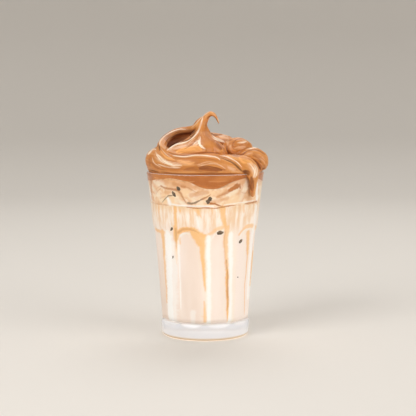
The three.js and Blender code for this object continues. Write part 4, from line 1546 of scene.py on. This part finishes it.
# Painted shade in the creases, and a painted highlight on the crests
store(heap.data, "crease", by_depth(1, 0.35, 0.6, 2.2, 0.7))
store(heap.data, "crest", by_depth(-1, 0.2, 0.5, 1.6, 0.6))
# The hollow under the ribbon gets painted shade, strongest inside the stretched ball that scooped it
centre = np.array(at(*HOLLOW_PLACE))
from_centre = (points_of(heap.data) - centre) / (np.array(HOLLOW_SIZE) * HOLLOW_REACH)
store(heap.data, "hollow", (HOLLOW_REACH - np.linalg.norm(from_centre, axis=1)) / HOLLOW_FADE)
print("masks:", [layer.name for layer in heap.data.attributes if layer.data_type == "FLOAT"])

# %% [markdown]
# ### Satin coffee foam
# Whipped coffee is glossy but soft: light goes a little way in and comes back warm. So it has some
# subsurface light, a satin surface and a thin wet coat. Creases and the hollow get painted shade,
# crests a painted highlight, and the streaks a little of both: paler on their ridges, darker in
# their grooves.

# %% Coffee foam material
# A mask's name, the values it runs between, how strongly it tints, and the tint
FOAM_TINTS = (
    # Painted highlight on the streaks' ridges and painted shade in their grooves
    ("streak", 0.5, 0.8, 0.4, rgb(230, 168, 104)),
    ("streak", 0.45, 0.2, 0.32, rgb(164, 92, 34)),
    # Painted highlight on the crests and painted shade in the creases
    ("crest", 0.15, 0.9, 0.45, rgb(234, 178, 118)),
    ("crease", 0.1, 0.9, 0.7, rgb(140, 74, 26)),
    # Painted shade in the hollow
    ("hollow", 0.0, 1.0, 0.95, rgb(168, 106, 62)),
    # The strokes: glow, pink and light are painted light, pink partly the foam's own paler tone, and shade
    # and deep are painted shade
    ("glow", 0.0, 1.0, 1.0, rgb(243, 174, 98)),
    ("pink", 0.0, 1.0, 1.0, rgb(232, 182, 140)),
    ("shade", 0.0, 1.0, 1.0, rgb(150, 82, 28)),
    ("deep", 0.0, 1.0, 1.0, rgb(88, 56, 36)),
    ("light", 0.0, 1.0, 1.0, rgb(252, 232, 206)),
)
foam, shader = new_material("whipped coffee foam")
tone = mottled(foam, 0.05, rgb(193, 117, 44), rgb(209, 134, 58))
for name, low_value, high_value, strength, color in FOAM_TINTS:
    mask = add_node(foam, "ShaderNodeAttribute", attribute_name=name)
    share = remap(foam, mask, "Fac", low_value, high_value, 0.0, strength)
    tone = mix_color(foam, share, "Result", tone, color)
set_base_color(foam, tone, shader)
fill_inputs(shader, Subsurface_Weight=0.12, Subsurface_Scale=0.003, Coat_Roughness=0.28)
# Under the deep strokes the wet coat is gone, and so is most of the shine
for entry, plain, under_stroke in (("Coat Weight", 0.14, 0.0), ("Roughness", 0.46, 0.85)):
    deep = add_node(foam, "ShaderNodeAttribute", attribute_name="deep")
    join(foam, remap(foam, deep, "Fac", 0, 0.7, plain, under_stroke), "Result", shader, entry)
shader.inputs["Subsurface Radius"].default_value = (1.0, 0.6, 0.35)
add_bump(foam, object_noise(foam, 1.4), shader, 0.04)
heap.data.materials.append(foam)
print("material", foam.name)

# %% [markdown]
# ## Coffee grounds
# A few dark grounds float in the froth and cling to the wall. Each is a small ball, squashed and
# knocked out of round, set so that it just breaks the surface of the milk behind the glass.

# %% Specks: degrees, height, width, height of the speck, tilt
SPECKS = [
    (-27.7, 113.1, 3.4, 2.9, 20),
    (-33.9, 109.1, 2.5, 4.4, -30),
    (3.0, 103.9, 2.6, 3.2, -15),
    (5.2, 105.9, 3.0, 3.2, 25),
    (-41, 82.9, 2.2, 3.0, 30),
    (17.5, 81.3, 4.8, 3.6, -10),
    (-42, 61.8, 1.4, 2.3, 30),
    (46.5, 73.4, 4.2, 2.7, -35),
    (45.3, 46.5, 1.5, 1.0, 30),
]
BACK_SPECKS = 12
SPECK_SINK, SPECK_HALF_DEPTH, SPECK_SWELL, SPECK_LUMPS = 0.35, 0.75, 1.1, 0.36


def back_specks():
    """Seeded specks round the back: degrees, height, width, height of the speck, tilt."""
    for _ in range(BACK_SPECKS):
        size = random.uniform(1.2, 3.6)
        tall = size * random.uniform(0.7, 1.5)
        yield random.uniform(85, 275), random.uniform(45, 115), size, tall, random.uniform(-40, 40)


def add_speck(bm, degrees, up, width, height, tilt, seed):
    out = inner_radius(up) + INTO_WALL - SPECK_SINK
    turn = Matrix.Rotation(math.radians(degrees), 4, "Z") @ Matrix.Rotation(math.radians(tilt), 4, "Y")
    size = Matrix.Diagonal((width / 2, SPECK_HALF_DEPTH, height / 2, 1))
    ball = bmesh.ops.create_icosphere(bm, subdivisions=3, radius=1)["verts"]
    for vertex in ball:
        lump = noise.noise(vertex.co * 1.3 + Vector((seed * 3.1, 0, seed)))
        vertex.co *= SPECK_SWELL + SPECK_LUMPS * lump
    bmesh.ops.transform(bm, matrix=Matrix.Translation(at(degrees, out, up)) @ turn @ size, verts=ball)


bm = bmesh.new()
for seed, speck in enumerate([*SPECKS, *back_specks()]):
    add_speck(bm, *speck, seed)
specks = finish_mesh(bm, "coffee_specks")
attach(specks, "root")

# %% [markdown]
# Wet grounds are nearly black with paler grains, and they have little shine of their own behind the
# glass, so the finish is rough and mottled on a scale of one millimetre.

# %% Material of the grounds
grounds, shader = new_material("coffee grounds")
set_base_color(grounds, mottled(grounds, 1.1, rgb(70, 56, 42), rgb(128, 108, 86)), shader)
fill_inputs(shader, Roughness=0.7, Specular_IOR_Level=0.1)
add_bump(grounds, object_noise(grounds, 2.0), shader, 0.1)
specks.data.materials.append(grounds)
print("material", grounds.name)

# %% [markdown]
# ## Measure and finish
# Both boxes are printed: the imported model's and the finished drink's. The drink has to stay inside
# the imported model's box, apart from a little that soft parts may stand proud.

# %% Print the two boxes
boxes = {"cad": [list(c) for c in CAD_BOX], "visual": [list(c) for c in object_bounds()]}
print({name: [[round(v * 1000, 1) for v in corner] for corner in box] for name, box in boxes.items()})
